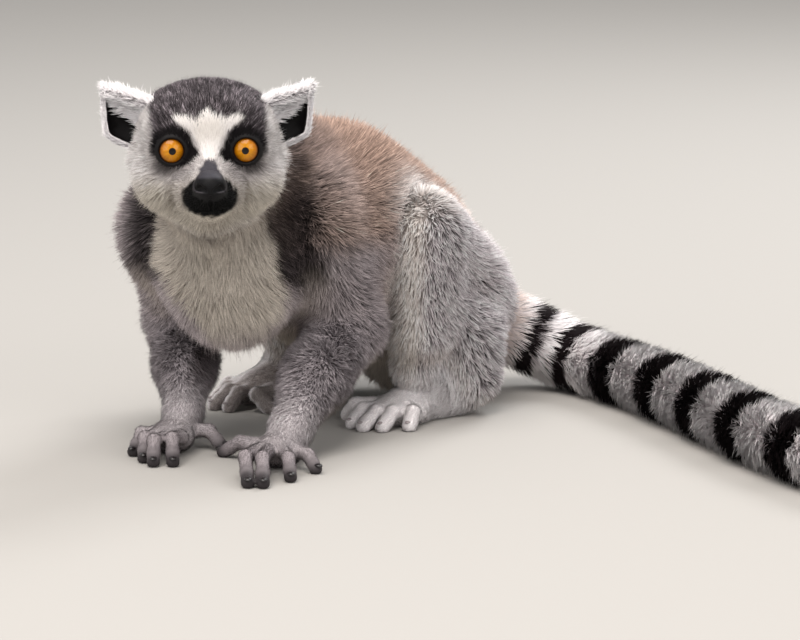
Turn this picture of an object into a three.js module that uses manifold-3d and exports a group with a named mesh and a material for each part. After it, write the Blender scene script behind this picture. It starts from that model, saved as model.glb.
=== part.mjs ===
// Ring-tailed lemur, life size, crouched on its haunches with both hands on the floor.
// Millimetres, +Z up, the animal looks along -Y and its left side is towards +X.
//
// The flesh and coat are one smooth field of rounded masses on a skeleton. Each body part is a
// named set of masses; the field is meshed once for each part, at that part's own fineness, and
// parted from its neighbours by thin cuts. The ears are cups and the tail is a lofted length.
// Working origin: on the floor under the point midway between the eyes.

import * as THREE from "three";
import { mergeVertices } from "three/addons/utils/BufferGeometryUtils.js";
import Module from "manifold-3d";

const wasm = await Module();
wasm.setup();

// ---------------------------------------------------------------- driving dimensions

const GAP = 0.3; // clear space between neighbouring parts
const ROOM = 28; // how far past its own masses a part may reach
const BLEND = 12; // how softly one mass runs into the next
const EYE_HEIGHT = 181; // floor to the middle of the eyes
const EYE_SPACING = 41.2; // between the eyeball centres
const EYE_RADIUS = 9;
const FLOOR_SINK = 1.2; // how far a resting mass dips under the floor before it is cut flat
const NOSE_FACET = 3.4;
const FINEST = 0.62; // the shortest edge left in a part, as a share of its facets' size

// ---------------------------------------------------------------- small vector helpers

const add = (a, b) => [a[0] + b[0], a[1] + b[1], a[2] + b[2]];
const sub = (a, b) => [a[0] - b[0], a[1] - b[1], a[2] - b[2]];
const dot = (a, b) => a[0] * b[0] + a[1] * b[1] + a[2] * b[2];
const mix = (a, b, t) => a.map((value, i) => value + (b[i] - value) * t);

// ---------------------------------------------------------------- masses and their field

/** A limb-like mass: a sphere of radius ra at a, tapering to rb at b. */
function limb(a, b, ra, rb, blend = BLEND) {
  const ba = sub(b, a);
  const l2 = dot(ba, ba);
  const rr = ra - rb;
  const a2 = l2 - rr * rr;
  const distance = (p) => {
    const pa = sub(p, a);
    const y = dot(pa, ba);
    const z = y - l2;
    const off = [pa[0] * l2 - ba[0] * y, pa[1] * l2 - ba[1] * y, pa[2] * l2 - ba[2] * y];
    const x2 = dot(off, off);
    const y2 = y * y * l2;
    const z2 = z * z * l2;
    const k = Math.sign(rr) * rr * rr * x2;
    if (Math.sign(z) * a2 * z2 > k) return Math.sqrt(x2 + z2) / l2 - rb;
    if (Math.sign(y) * a2 * y2 < k) return Math.sqrt(x2 + y2) / l2 - ra;
    return (Math.sqrt((x2 * a2) / l2) + y * rr) / l2 - ra;
  };
  const low = a.map((v, i) => Math.min(v - ra, b[i] - rb));
  const high = a.map((v, i) => Math.max(v + ra, b[i] + rb));
  return { distance, low, high, blend };
}

/** An egg-like mass with its own radius along each axis, turned by yaw degrees about Z. */
function egg(centre, radii, yaw = 0, blend = BLEND) {
  const c = Math.cos(THREE.MathUtils.degToRad(yaw));
  const s = Math.sin(THREE.MathUtils.degToRad(yaw));
  const distance = (p) => {
    const d = sub(p, centre);
    const q = [c * d[0] + s * d[1], -s * d[0] + c * d[1], d[2]];
    const near = Math.hypot(q[0] / radii[0], q[1] / radii[1], q[2] / radii[2]);
    const slope = Math.hypot(q[0] / radii[0] ** 2, q[1] / radii[1] ** 2, q[2] / radii[2] ** 2);
    return slope < 1e-9 ? -Math.min(...radii) : (near * (near - 1)) / slope;
  };
  const reach = Math.max(radii[0], radii[1]);
  const low = [centre[0] - reach, centre[1] - reach, centre[2] - radii[2]];
  const high = [centre[0] + reach, centre[1] + reach, centre[2] + radii[2]];
  return { distance, low, high, blend };
}

/** The smooth union of two distances. */
function melt(a, b, k) {
  const h = Math.max(k - Math.abs(a - b), 0) / k;
  return Math.min(a, b) - (h * h * k) / 4;
}

/** The same mass as a dent in the others. */
const hollow = (mass) => ({ ...mass, dents: true });

/** The distance to some masses melted together, less their dents. */
function partDistance(masses) {
  const [dents, solids] = [masses.filter((m) => m.dents), masses.filter((m) => !m.dents)];
  return (p) => {
    const body = solids.reduce((d, m) => melt(d, m.distance(p), m.blend), 1e3);
    return dents.reduce((d, m) => -melt(-d, m.distance(p), m.blend), body);
  };
}

// ---------------------------------------------------------------- the skeleton

const EYES = [0, 0, EYE_HEIGHT];
const HEAD_YAW = 4; // degrees that the face is turned to the animal's left
const HEAD_TURN = THREE.MathUtils.degToRad(HEAD_YAW);
/** A place on the head, measured from between the eyes. */
const head = (x, y, z) => [
  EYES[0] + x * Math.cos(HEAD_TURN) - y * Math.sin(HEAD_TURN),
  EYES[1] + x * Math.sin(HEAD_TURN) + y * Math.cos(HEAD_TURN),
  EYES[2] + z,
];

const onFloor = (x, y, radius) => [x, y, radius - FLOOR_SINK]; // the centre of a mass that rests

// The hips are turned to the animal's right, so each hind leg is laid out from the pelvis.
const HIP_YAW = THREE.MathUtils.degToRad(42);
const FORWARD = [-Math.sin(HIP_YAW), -Math.cos(HIP_YAW), 0];
const LEFTWARD = [Math.cos(HIP_YAW), -Math.sin(HIP_YAW), 0];
const PELVIS = [127, 228, 0];

/** A direction on a hind leg: forward, out to its side (left is +1) and up. */
const hindWay = (side, [forward, out, up]) => [
  FORWARD[0] * forward + side * LEFTWARD[0] * out,
  FORWARD[1] * forward + side * LEFTWARD[1] * out,
  up,
];

/** A place on a hind leg, from the floor under the pelvis. */
const hind = (side, ...place) => add(PELVIS, hindWay(side, place));

/** A digit: from its knuckle over a raised middle joint to a tip that rests on the floor. */
function digit(root, middle, tip, thick, blend = 3) {
  const end = onFloor(tip[0], tip[1], thick * 0.95);
  return [
    limb(root, middle, thick * 1.12, thick, blend),
    limb(middle, mix(middle, end, 0.62), thick, thick * 0.92, 2),
    limb(mix(middle, end, 0.62), end, thick * 0.92, thick * 0.95, 2),
  ];
}

/** A hind foot: from the heel to the tip of its third toe, both places on the floor. */
function footMasses(side, heel, toe) {
  const length = Math.hypot(...sub(toe, heel));
  const along = sub(toe, heel).map((v) => v / length);
  const outward = [-side * along[1], side * along[0], 0];
  const at = (forward, out, up) =>
    heel.map((v, i) => v + along[i] * forward + outward[i] * out + (i === 2 ? up : 0));
  const yaw = THREE.MathUtils.radToDeg(Math.atan2(along[0], -along[1]));
  const ball = length * 0.6;
  const toes = [
    [-15, -22, 70, -30], // great toe: knuckle out, middle joint out, tip forward, tip out
    [-8.5, -10.5, 85, -11],
    [-1, -0.5, 87, 0],
    [6, 8, 80, 9],
    [12, 16, 67, 18],
  ];
  return [
    limb(at(9, 0, 9.5), at(ball, -1, 8.5), 11.5, 10, 8),
    egg(at(ball - 3, -1, 8.5), [15.5, 17, 9.5], -yaw, 8),
    limb(at(26, 0, 21), at(ball - 8, -1, 11), 13.5, 9.5, 8), // instep
    ...toes.flatMap(([knuckle, middle, forward, out], i) =>
      digit(
        at(ball + (i ? 6 - i : -10), knuckle, 9.5),
        at((ball + forward) / 2 + 6 - 2 * i, middle, 10.5),
        at(forward - 4, out, 0),
        i ? 4.5 : 4.9,
        4,
      ),
    ),
  ];
}

// ---------------------------------------------------------------- masses of each part

const parts = {};

parts.nose = [egg(head(0, -32, -16), [7.4, 7, 7.2], HEAD_YAW, 5)];

parts.head = [
  egg(head(0, 41, 5), [41.5, 43, 29.5], HEAD_YAW), // braincase and crown
  egg(head(0, 6, 8), [35, 17, 19.5], HEAD_YAW), // brow
  limb(head(-20, 12, -15), head(-16, 30, -14), 22.5, 22), // cheeks
  limb(head(20, 12, -15), head(16, 30, -14), 22.5, 22),
  limb(head(0, 0, -11), head(0, -23.5, -17), 17, 8.8, 9), // bridge of the muzzle
  limb(head(-6.5, -6, -24), head(-5, -20, -25.5), 11.5, 9.2, 6), // lips
  limb(head(6.5, -6, -24), head(5, -20, -25.5), 11.5, 9.2, 6),
  limb(head(0, 6, -32), head(0, -17, -30.5), 12, 7.5, 7), // chin and lower jaw
  egg(head(0, 20, -26), [27, 24, 16], HEAD_YAW), // throat
  hollow(egg(head(-EYE_SPACING / 2, -12.5, 0), [11, 9, 10], HEAD_YAW, 3)), // eye sockets
  hollow(egg(head(EYE_SPACING / 2, -12.5, 0), [11, 9, 10], HEAD_YAW, 3)),
];

parts.neck = [
  limb(head(4, 46, -18), [31, 90, 147], 37, 46, 16),
  egg([12, 52, 128], [34, 24, 34], 20, 16), // the ruff under the chin
];

parts.chest = [
  limb([8, 74, 112], [43, 110, 126], 47, 55, 16),
  egg([10, 62, 96], [36, 30, 36], 22, 14), // breast
];

parts.belly = [
  limb([64, 134, 123], [96, 180, 97], 59, 54, 16),
  egg([58, 138, 82], [44, 48, 38], 35, 16), // the paunch between the knees
];

parts.rump = [
  limb([98, 184, 86], onFloor(118, 222, 50), 51, 50, 16),
  egg(onFloor(134, 234, 39), [34, 28, 39], 48, 14), // round the tail root
];

parts.upper_arm_left = [
  egg([54, 72, 130], [27, 29, 34], 16, 14), // shoulder
  limb([56, 74, 122], [74, 98, 66], 26, 23.5, 14),
];
parts.forearm_left = [
  limb([74, 96, 64], [57, 58, 42], 23.5, 20, 10),
  limb([57, 58, 42], [44, 26, 20], 20, 13, 10),
];
parts.hand_left = [
  egg([36, 11, 9], [14, 14, 9.5], 10, 8),
  limb([44, 26, 18], [39, 13, 10], 12, 10, 6),
  ...digit([27, 17, 11], [15, 31, 10], [5, 38], 4.2), // thumb
  ...digit([26, 3, 11], [20, -22, 13], [22, -44], 4.3),
  ...digit([32, -2, 11.5], [29.5, -26, 13], [30.5, -45], 4.3),
  ...digit([40, 1, 11], [43.5, -17, 11], [45, -29], 4.2),
  ...digit([46, 8, 10], [54, -1, 9.5], [58.5, -7], 4.1),
];

parts.upper_arm_right = [
  egg([-30, 88, 124], [27, 27, 33], 16, 14), // shoulder
  limb([-30, 90, 122], [-23, 126, 66], 25, 21.5, 14),
];
parts.forearm_right = [
  limb([-23, 126, 64], [-19, 96, 43], 21.5, 18.5, 10),
  limb([-19, 96, 43], [-19, 70, 21], 18.5, 12, 10),
];
parts.hand_right = [
  egg([-25, 50, 9], [13.5, 15, 9.5], -8, 8),
  limb([-19, 68, 18], [-23, 56, 10], 11.5, 9.5, 6),
  ...digit([-15, 60, 11], [-4, 59, 11], [4, 53], 4.2), // thumb
  ...digit([-19, 39, 11], [-23, 24, 13.5], [-22, 11], 4.3),
  ...digit([-27, 38, 11], [-33, 21, 13], [-33, 11], 4.3),
  ...digit([-32, 46, 11], [-39, 34, 12], [-39, 22], 4.2),
  ...digit([-33, 56, 10], [-42, 52, 11], [-46, 40], 4.1),
];

for (const [name, side, heelPlace, toePlace] of [
  ["left", 1, [34, 52, 0], [122, 47, 0]],
  ["right", -1, [46, 54, 0], [136, 64, 0]],
]) {
  const hip = hind(side, 6, 28, 62);
  const knee = hind(side, 88, 70, 122);
  const ankle = hind(side, 76, 50, 28);
  const haunch = hind(side, 38, 50, 45);
  parts[`thigh_${name}`] = [
    limb(hip, knee, 34, 23, 12),
    limb(mix(hip, knee, 0.24), haunch, 32, 28, 10),
    limb(haunch, hind(side, 34, 56, 24), 28, 22, 10), // it hangs over the heel
    limb(mix(knee, ankle, 0.3), haunch, 19, 25, 12), // the web behind the calf
  ];
  parts[`shin_${name}`] = [
    limb(mix(knee, ankle, 0.1), mix(knee, ankle, 0.96), 22, 15.5, 7),
    limb(mix(knee, ankle, 0.2), hind(side, 80, 60, 60), 22, 21, 7),
  ];
  parts[`foot_${name}`] = footMasses(side, hind(side, ...heelPlace), hind(side, ...toePlace));
}

// ---------------------------------------------------------------- meshing a field

const CORNERS = [0, 1, 2, 3, 4, 5, 6, 7].map((c) => [c & 1, (c >> 1) & 1, (c >> 2) & 1]);
// The twelve edges of a cell, as pairs of corners: four along X, four along Y and four along Z.
const AXES = [0, 1, 2];
const EDGES = AXES.flatMap((axis) =>
  [0, 1, 2, 3, 4, 5, 6, 7].filter((c) => !CORNERS[c][axis]).map((c) => [c, c + 2 ** axis]),
);
const FACES = AXES.flatMap((axis) =>
  [0, 1].map((side) =>
    EDGES.flatMap((edge, e) => (edge.every((c) => CORNERS[c][axis] === side) ? [e] : [])),
  ),
);

/** The crossed edges of a cell, grouped into the loops that the surface makes in it. */
function loopsOf(values) {
  const inside = values.map((v) => v < 0);
  const crossed = (e) => inside[EDGES[e][0]] !== inside[EDGES[e][1]];
  const group = EDGES.map((_, e) => e);
  const join = (kept, lost) => group.forEach((g, e) => g === lost && (group[e] = kept));
  for (const face of FACES) {
    const hits = face.filter(crossed);
    for (const a of hits)
      for (const b of hits) {
        const shared = EDGES[a].find((corner) => EDGES[b].includes(corner));
        if (a < b && (hits.length === 2 || inside[shared])) join(group[a], group[b]);
      }
  }
  const loops = new Map();
  EDGES.forEach((_, e) => crossed(e) && loops.set(group[e], [...(loops.get(group[e]) ?? []), e]));
  return [...loops.values()];
}

/** The field's slope at p, by central differences. */
function slopeAt(field, p, h) {
  return [0, 1, 2].map((axis) => {
    const step = [0, 0, 0];
    step[axis] = h;
    return (field(add(p, step)) - field(sub(p, step))) / (2 * h);
  });
}

/** Moves p onto the field's surface, by no more than reach. */
function settle(field, p, reach) {
  let q = p;
  for (let round = 0; round < 3; round++) {
    const g = slopeAt(field, q, 0.4);
    const step = field(q) / Math.max(dot(g, g), 0.05);
    q = sub(q, g.map((v) => v * step));
  }
  const moved = sub(q, p);
  return Math.hypot(...moved) > reach ? p : q;
}

/** The field's values on a grid of points that covers a box, above zero all round its rim. */
function sampled(field, { low, high }, cell) {
  const from = low.map((v) => Math.floor(v / cell) - 1);
  const size = high.map((v, i) => Math.ceil(v / cell) + 2 - from[i]);
  const at = ([x, y, z]) => (z * size[1] + y) * size[0] + x;
  const place = (grid) => grid.map((g, i) => (g + from[i]) * cell);
  const rim = (grid) => grid.some((g, i) => g === 0 || g === size[i] - 1);
  const each = (less, visit) => {
    for (let z = 0; z < size[2] - less; z++)
      for (let y = 0; y < size[1] - less; y++)
        for (let x = 0; x < size[0] - less; x++) visit([x, y, z]);
  };
  const values = new Float64Array(size[0] * size[1] * size[2]);
  each(0, (grid) => {
    values[at(grid)] = rim(grid) ? cell : field(place(grid));
  });
  return { values, at, place, each };
}

/** A vertex for each loop of crossed edges in a cell, and the vertex that each edge of a cell has. */
function netVertices({ values, at, place, each }, field, cell) {
  const positions = [];
  const vertexOf = new Map();
  each(1, (grid) => {
    const v = CORNERS.map((c) => values[at(add(grid, c))]);
    if (v.every((value) => value < 0) || v.every((value) => value >= 0)) return;
    const crossing = ([i, j]) => mix(CORNERS[i], CORNERS[j], v[i] / (v[i] - v[j]));
    for (const loop of loopsOf(v)) {
      const hits = loop.map((e) => crossing(EDGES[e]));
      const middle = hits.reduce(add).map((m) => m / hits.length);
      for (const e of loop) vertexOf.set(at(grid) * 12 + e, positions.length);
      positions.push(settle(field, place(add(grid, middle)), cell * 0.6));
    }
  });
  return { positions, vertexOf };
}

const AROUND = [[1, 1], [0, 1], [0, 0], [1, 0]]; // the four cells that share a grid edge

/** Two triangles across each grid edge that the surface crosses, facing out. */
function netFaces({ values, at, each }, { positions, vertexOf }) {
  const index = [];
  const span = (i, j) => Math.hypot(...sub(positions[i], positions[j]));
  const vertexIn = (grid, axis, [db, dc]) => {
    const start = db * 2 ** ((axis + 1) % 3) + dc * 2 ** ((axis + 2) % 3); // the corner the edge leaves
    const edge = EDGES.findIndex(([i, j]) => i === start && j === start + 2 ** axis);
    return vertexOf.get(at(sub(grid, CORNERS[start])) * 12 + edge);
  };
  each(1, (grid) => {
    for (const axis of AXES) {
      const inside = values[at(grid)] < 0;
      if (values[at(add(grid, CORNERS[2 ** axis]))] < 0 === inside) continue;
      const quad = AROUND.map((cell) => vertexIn(grid, axis, cell));
      const [p, q, r, s] = inside ? quad : quad.reverse();
      index.push(...(span(p, r) < span(q, s) ? [p, q, r, p, r, s] : [p, q, s, q, r, s]));
    }
  });
  return index;
}

const geometryFrom = (positions, index) =>
  new THREE.BufferGeometry()
    .setAttribute("position", new THREE.Float32BufferAttribute(positions, 3))
    .setIndex(index);

/** Closed surface of the field below zero in a box (surface nets). */
function surfaceOf(field, box, cell) {
  const grid = sampled(field, box, cell);
  const vertices = netVertices(grid, field, cell);
  return geometryFrom(vertices.positions.flat(), netFaces(grid, vertices));
}

// ---------------------------------------------------------------- solids, joined and cut

/** A closed geometry as a manifold solid. */
function solidOf(geometry) {
  const bare = geometry.clone();
  bare.deleteAttribute("normal");
  bare.deleteAttribute("uv");
  const merged = mergeVertices(bare, 1e-4);
  return new wasm.Manifold(
    new wasm.Mesh({
      numProp: 3,
      vertProperties: new Float32Array(merged.attributes.position.array),
      triVerts: new Uint32Array(merged.index.array),
    }),
  );
}

/** The biggest connected piece of a solid, above the floor. */
function restingPiece(solid) {
  const pieces = solid.trimByPlane([0, 0, 1], 0).decompose();
  return pieces.reduce((best, piece) => (piece.volume() > best.volume() ? piece : best));
}

function geometryOf(solid) {
  const { vertProperties, triVerts } = solid.getMesh();
  return geometryFrom(vertProperties, Array.from(triVerts));
}

// ---------------------------------------------------------------- the cuts between parts

/** A cut through a place, with the side it faces. */
const plane = (through, facing) => {
  const normal = new THREE.Vector3(...facing).normalize().toArray();
  return { normal, offset: dot(normal, through) };
};

/** The same solid on the faced side of a cut (+1) or behind it (-1), half a gap clear of it. */
const sideOf = (solid, { normal, offset }, side) =>
  solid.trimByPlane(
    normal.map((v) => v * side),
    offset * side + GAP / 2,
  );

/** A cut across a hind leg, given in the leg's own directions. */
const hindPlane = (side, through, facing) => plane(hind(side, ...through), hindWay(side, facing));

const NECK = plane(head(8, 50, -23), [0.3, 0.55, -0.78]);
const COLLAR = plane([14, 61, 142], [0.3, 0.58, -0.76]);
const WAIST = plane([62, 124, 110], [0.55, 0.83, 0.05]);
const LOINS = plane([106, 184, 84], [0.5, 0.72, -0.5]);
const ARMPIT = {
  left: plane([33, 74, 120], [0.93, -0.34, -0.12]),
  right: plane([-14, 92, 112], [-0.96, 0.1, -0.28]),
};
const ELBOW = {
  left: plane([72, 92, 64], [-0.3, -0.35, -0.89]),
  right: plane([-21, 120, 64], [0.05, -0.4, -0.91]),
};
const WRIST = {
  left: plane([42, 22, 16], [-0.3, -0.86, -0.42]),
  right: plane([-20, 65, 16], [-0.1, -0.86, -0.5]),
};
const BETWEEN_HANDS = plane([4.5, 44.5, 0], [0.85, -0.53, 0]);
const onBothLegs = (through, facing) => ({
  left: hindPlane(1, through, facing),
  right: hindPlane(-1, through, facing),
});
const GROIN = onBothLegs([40, 32, 60], [0.15, 0.9, -0.3]);
const CALF = onBothLegs([88, 70, 118], [0.87, 0.1, -0.48]);
const ANKLE = onBothLegs([74, 50, 23], [0.2, 0, -0.98]);

// Each part of flesh: the size of its facets, then the side of each cut that it lies on.
const SHARES = {
  head: [7.2, [NECK, -1]],
  neck: [13, [NECK, 1], [COLLAR, -1]],
  chest: [13, [COLLAR, 1], [NECK, 1], [WAIST, -1], [ARMPIT.left, -1], [ARMPIT.right, -1]],
  belly: [13, [WAIST, 1], [LOINS, -1], [GROIN.left, -1], [GROIN.right, -1]],
  rump: [13, [LOINS, 1], [GROIN.left, -1], [GROIN.right, -1]],
};
for (const [side, hand] of [["left", 1], ["right", -1]]) {
  const arm = [[NECK, 1], [COLLAR, 1], [WAIST, -1], [ARMPIT[side], 1]];
  const leg = [[WAIST, 1], [GROIN[side], 1]];
  SHARES[`upper_arm_${side}`] = [11.5, ...arm, [ELBOW[side], -1]];
  SHARES[`forearm_${side}`] = [10.4, ...arm, [ELBOW[side], 1], [WRIST[side], -1]];
  SHARES[`hand_${side}`] = [4.6, [WRIST[side], 1], [BETWEEN_HANDS, hand]];
  SHARES[`thigh_${side}`] = [13.8, ...leg, [CALF[side], -1]];
  SHARES[`shin_${side}`] = [11.1, ...leg, [CALF[side], 1], [ANKLE[side], -1]];
  SHARES[`foot_${side}`] = [5.9, [CALF[side], 1], [ANKLE[side], 1], [GROIN[side], 1]];
}

/** A box round some masses, with room for the neighbours that the cuts leave to them. */
function boxOf(masses) {
  const low = [0, 1, 2].map((i) => Math.min(...masses.map((m) => m.low[i])) - ROOM);
  const high = [0, 1, 2].map((i) => Math.max(...masses.map((m) => m.high[i])) + ROOM);
  return { low, high };
}

const meet = (a, b) => [0, 1, 2].every((i) => a.low[i] < b.high[i] && b.low[i] < a.high[i]);

/** The whole body's surface near some masses. */
function bodyNear(masses, cell) {
  const box = boxOf(masses);
  const near = Object.values(parts).flat().filter((m) => meet(boxOf([m]), box));
  return surfaceOf(partDistance(near), box, cell);
}

/** One part of the body, cut free of its neighbours. */
function fleshOf(name) {
  const [cell, ...cuts] = SHARES[name];
  const whole = solidOf(bodyNear(parts[name], cell));
  const cut = cuts.reduce((solid, [plane, side]) => sideOf(solid, plane, side), whole);
  const levels = cuts.map(([{ normal, offset }, side]) => [normal, offset + (side * GAP) / 2]);
  const floor = [[0, 0, 1], 0];
  return solidOf(tidied(geometryOf(restingPiece(cut)), cell * FINEST, [floor, ...levels]));
}

// ---------------------------------------------------------------- tidying a cut solid

/** A net of triangles whose edges can be closed up. A corner on a cut slides only along that cut. */
class Net {
  constructor(geometry, levels) {
    const { position } = geometry.attributes;
    const all = Array.from({ length: position.count }, (_, i) => i);
    this.points = all.map((i) => new THREE.Vector3().fromBufferAttribute(position, i).toArray());
    this.held = this.points.map((p) => levels.map(([n, level]) => Math.abs(dot(p, n) - level) < 2e-3));
    const corners = Array.from(geometry.index.array);
    this.faces = corners.flatMap((_, i) => (i % 3 ? [] : [corners.slice(i, i + 3)]));
    this.around = all.map(() => new Set());
    this.faces.forEach((face, f) => face.forEach((v) => this.around[v].add(f)));
    const pull = (v) => [...this.around[v]].map((f) => this.normalOf(this.faces[f]));
    this.outward = all.map((v) => pull(v).reduce(add, [0, 0, 0]));
  }

  /** A face's normal, as long as twice its area. */
  normalOf([a, b, c]) {
    const corner = (v) => new THREE.Vector3(...this.points[v]);
    const start = corner(a);
    return corner(b).sub(start).cross(corner(c).sub(start)).toArray();
  }

  neighbours(v) {
    return new Set([...this.around[v]].flatMap((f) => this.faces[f]).filter((u) => u !== v));
  }

  apart(a, b) {
    return Math.hypot(...sub(this.points[a], this.points[b]));
  }

  /** Whether a face would fold over or shrink to nothing, if one of its corners moved to another. */
  folds(face, from, to, shortest) {
    const before = this.normalOf(face);
    const after = this.normalOf(face.map((v) => (v === from ? to : v)));
    const [long, wide, way] = [before, after, this.outward[from]].map((n) => Math.hypot(...n));
    const bent = long > 0.02 * shortest ** 2 && dot(before, after) < 0.6 * long * wide;
    const thin = wide < 0.04 * shortest ** 2;
    return thin || bent || dot(after, this.outward[from]) < 0.25 * wide * way;
  }

  mayClose(from, to, shortest) {
    const shared = [...this.neighbours(from)].filter((v) => this.neighbours(to).has(v));
    const slides = this.held[from].every((on, k) => !on || this.held[to][k]);
    const moved = [...this.around[from]].map((f) => this.faces[f]).filter((face) => !face.includes(to));
    return slides && shared.length === 2 && !moved.some((face) => this.folds(face, from, to, shortest));
  }

  /** Moves one corner to another and drops the two faces between them. */
  close(from, to) {
    for (const f of this.around[from]) {
      const face = this.faces[f];
      if (face.includes(to)) {
        face.forEach((v) => v !== from && this.around[v].delete(f));
        this.faces[f] = null;
      } else {
        this.faces[f] = face.map((v) => (v === from ? to : v));
        this.around[to].add(f);
      }
    }
    this.around[from].clear();
  }

  shortEdges(shortest) {
    return this.faces
      .filter(Boolean)
      .flatMap(([a, b, c]) => [[a, b], [b, c], [c, a]])
      .filter(([a, b]) => a < b && this.apart(a, b) < shortest)
      .sort((m, n) => this.apart(...m) - this.apart(...n));
  }
}

/** The same closed surface without the edges shorter than a length, where they can close. */
function tidied(geometry, shortest, levels) {
  const net = new Net(geometry, levels);
  for (let closed = 1; closed > 0; ) {
    closed = 0;
    for (const [a, b] of net.shortEdges(shortest)) {
      if (!net.neighbours(a).has(b)) continue;
      const pair = [[a, b], [b, a]].find(([from, to]) => net.mayClose(from, to, shortest));
      if (!pair) continue;
      net.close(...pair);
      closed += 1;
    }
  }
  return geometryFrom(net.points.flat(), net.faces.filter(Boolean).flat());
}

/** A closed surface with every vertex moved outward by the same amount. */
function grown(geometry, amount) {
  const wider = geometry.clone();
  wider.computeVertexNormals();
  const { position, normal } = wider.attributes;
  for (let i = 0; i < position.count; i++)
    position.setXYZ(
      i,
      position.getX(i) + normal.getX(i) * amount,
      position.getY(i) + normal.getY(i) * amount,
      position.getZ(i) + normal.getZ(i) * amount,
    );
  return wider;
}

// ---------------------------------------------------------------- lofts

/** A closed body through rings of points, each ring turning the same way about the line of rings. */
function loft(rings) {
  const count = rings[0].length;
  const centre = (ring) => ring.reduce(add).map((v) => v / count);
  const positions = [...rings.flat(2), ...centre(rings[0]), ...centre(rings.at(-1))];
  const hub = rings.length * count;
  const index = [];
  for (let k = 0; k < count; k++) {
    const next = (k + 1) % count;
    index.push(hub, next, k, hub + 1, hub - count + k, hub - count + next);
    for (let start = 0; start < hub - count; start += count) {
      const [a, b] = [start + k, start + next];
      index.push(a, b, b + count, a, b + count, a + count);
    }
  }
  return geometryFrom(positions, index);
}

/** The same closed body seen in a mirror across the animal's middle. */
function mirrored(geometry) {
  const other = geometry.clone();
  const { position } = other.attributes;
  for (let i = 0; i < position.count; i++) position.setX(i, -position.getX(i));
  const order = other.index.array;
  for (let i = 0; i < order.length; i += 3) [order[i], order[i + 1]] = [order[i + 1], order[i]];
  return other;
}

// ---------------------------------------------------------------- ears

const EAR = {
  root: [35, 30, 4], // from between the eyes, on the left side
  tip: [59.5, 27, 34.5],
  buried: 14, // how far the root runs on into the head
  halfWidth: 17.5,
  depth: 13, // of the cup, front to back
  wall: 3.4, // leaf and its hair
  turn: 0.22, // how far the open side looks outward
  finest: 2.2, // the shortest edge left
};
const EAR_RINGS = 9;
const EAR_ARC = 8; // facets across the back of the cup

/** The left ear, from between the eyes of a head that looks along -Y: a leaf, open to the front. */
function earGeometry() {
  const root = new THREE.Vector3(...EAR.root);
  const up = new THREE.Vector3(...EAR.tip).sub(root);
  const length = up.length();
  up.normalize();
  const across = new THREE.Vector3(up.z, EAR.turn, -up.x).projectOnPlane(up).normalize();
  const back = new THREE.Vector3().crossVectors(up, across);
  const rings = [];
  for (let ring = 0; ring <= EAR_RINGS; ring++) {
    const along = -EAR.buried + ((length + EAR.buried) * ring) / EAR_RINGS;
    const taper = Math.max(0, (along - 12) / (length - 12));
    const width = EAR.halfWidth * Math.max(0.1, 1 - taper ** 1.3);
    const depth = EAR.depth * (1 - 0.62 * Math.max(0, along / length));
    const wall = Math.min(EAR.wall, width * 0.5, depth * 0.5);
    const open = THREE.MathUtils.smoothstep(along, -6, 14);
    const place = (n, d) =>
      root.clone().addScaledVector(up, along).addScaledVector(across, n).addScaledVector(back, d);
    const points = [];
    for (let k = 0; k <= EAR_ARC; k++) {
      const turn = Math.PI * (0.5 - k / EAR_ARC);
      points.push(place(width * Math.sin(turn), depth * Math.cos(turn)));
    }
    for (let k = EAR_ARC; k >= 0; k--) {
      const turn = Math.PI * (0.5 - k / EAR_ARC);
      const inner = open * (depth - wall) * Math.cos(turn);
      points.push(place((width - wall * 0.8) * Math.sin(turn), inner - 0.8));
    }
    rings.push(points.map((p) => p.toArray()));
  }
  return loft(rings);
}

// ---------------------------------------------------------------- tail

const TAIL_SIDES = 10;
const TAIL_RADIUS = 20;
const TAIL_LENGTHS = 7;
const TAIL_RINGS = 4; // to each length
const tailHeight = TAIL_RADIUS - FLOOR_SINK;
const tailPath = new THREE.CatmullRomCurve3(
  [
    [140, 238, 43],
    [165, 243, 40],
    [189, 245, 30],
    [211, 238, 21],
    [228, 217, tailHeight],
    [255, 164, tailHeight],
    [280, 99, tailHeight],
    [303, 30, tailHeight],
    [324, -22, tailHeight],
    [354, -74, tailHeight],
    [404, -104, tailHeight],
    [460, -100, tailHeight],
    [508, -70, tailHeight],
    [545, -30, tailHeight * 0.9],
  ].map((p) => new THREE.Vector3(...p)),
  false,
  "centripetal",
);

/** The tail's radius at a share of its length, out to the tips of the hair. */
function tailRadius(share) {
  const root = 1 + 0.16 * Math.max(0, 1 - share / 0.18);
  const tip = Math.sqrt(Math.max(0.05, 1 - Math.max(0, (share - 0.86) / 0.14) ** 2.4));
  return TAIL_RADIUS * root * tip;
}

/** One closed length of the tail between two shares of the whole. */
function tailGeometry(from, to) {
  const rings = [];
  for (let ring = 0; ring <= TAIL_RINGS; ring++) {
    const t = from + ((to - from) * ring) / TAIL_RINGS;
    const along = tailPath.getTangentAt(t);
    const side = new THREE.Vector3(along.y, -along.x, 0).normalize();
    const up = new THREE.Vector3().crossVectors(side, along);
    const points = [];
    for (let k = 0; k < TAIL_SIDES; k++) {
      const turn = (2 * Math.PI * k) / TAIL_SIDES;
      const p = tailPath
        .getPointAt(t)
        .addScaledVector(side, tailRadius(t) * Math.cos(turn))
        .addScaledVector(up, -tailRadius(t) * Math.sin(turn));
      points.push(p.toArray());
    }
    rings.push(points);
  }
  return loft(rings);
}

// ---------------------------------------------------------------- materials

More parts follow.
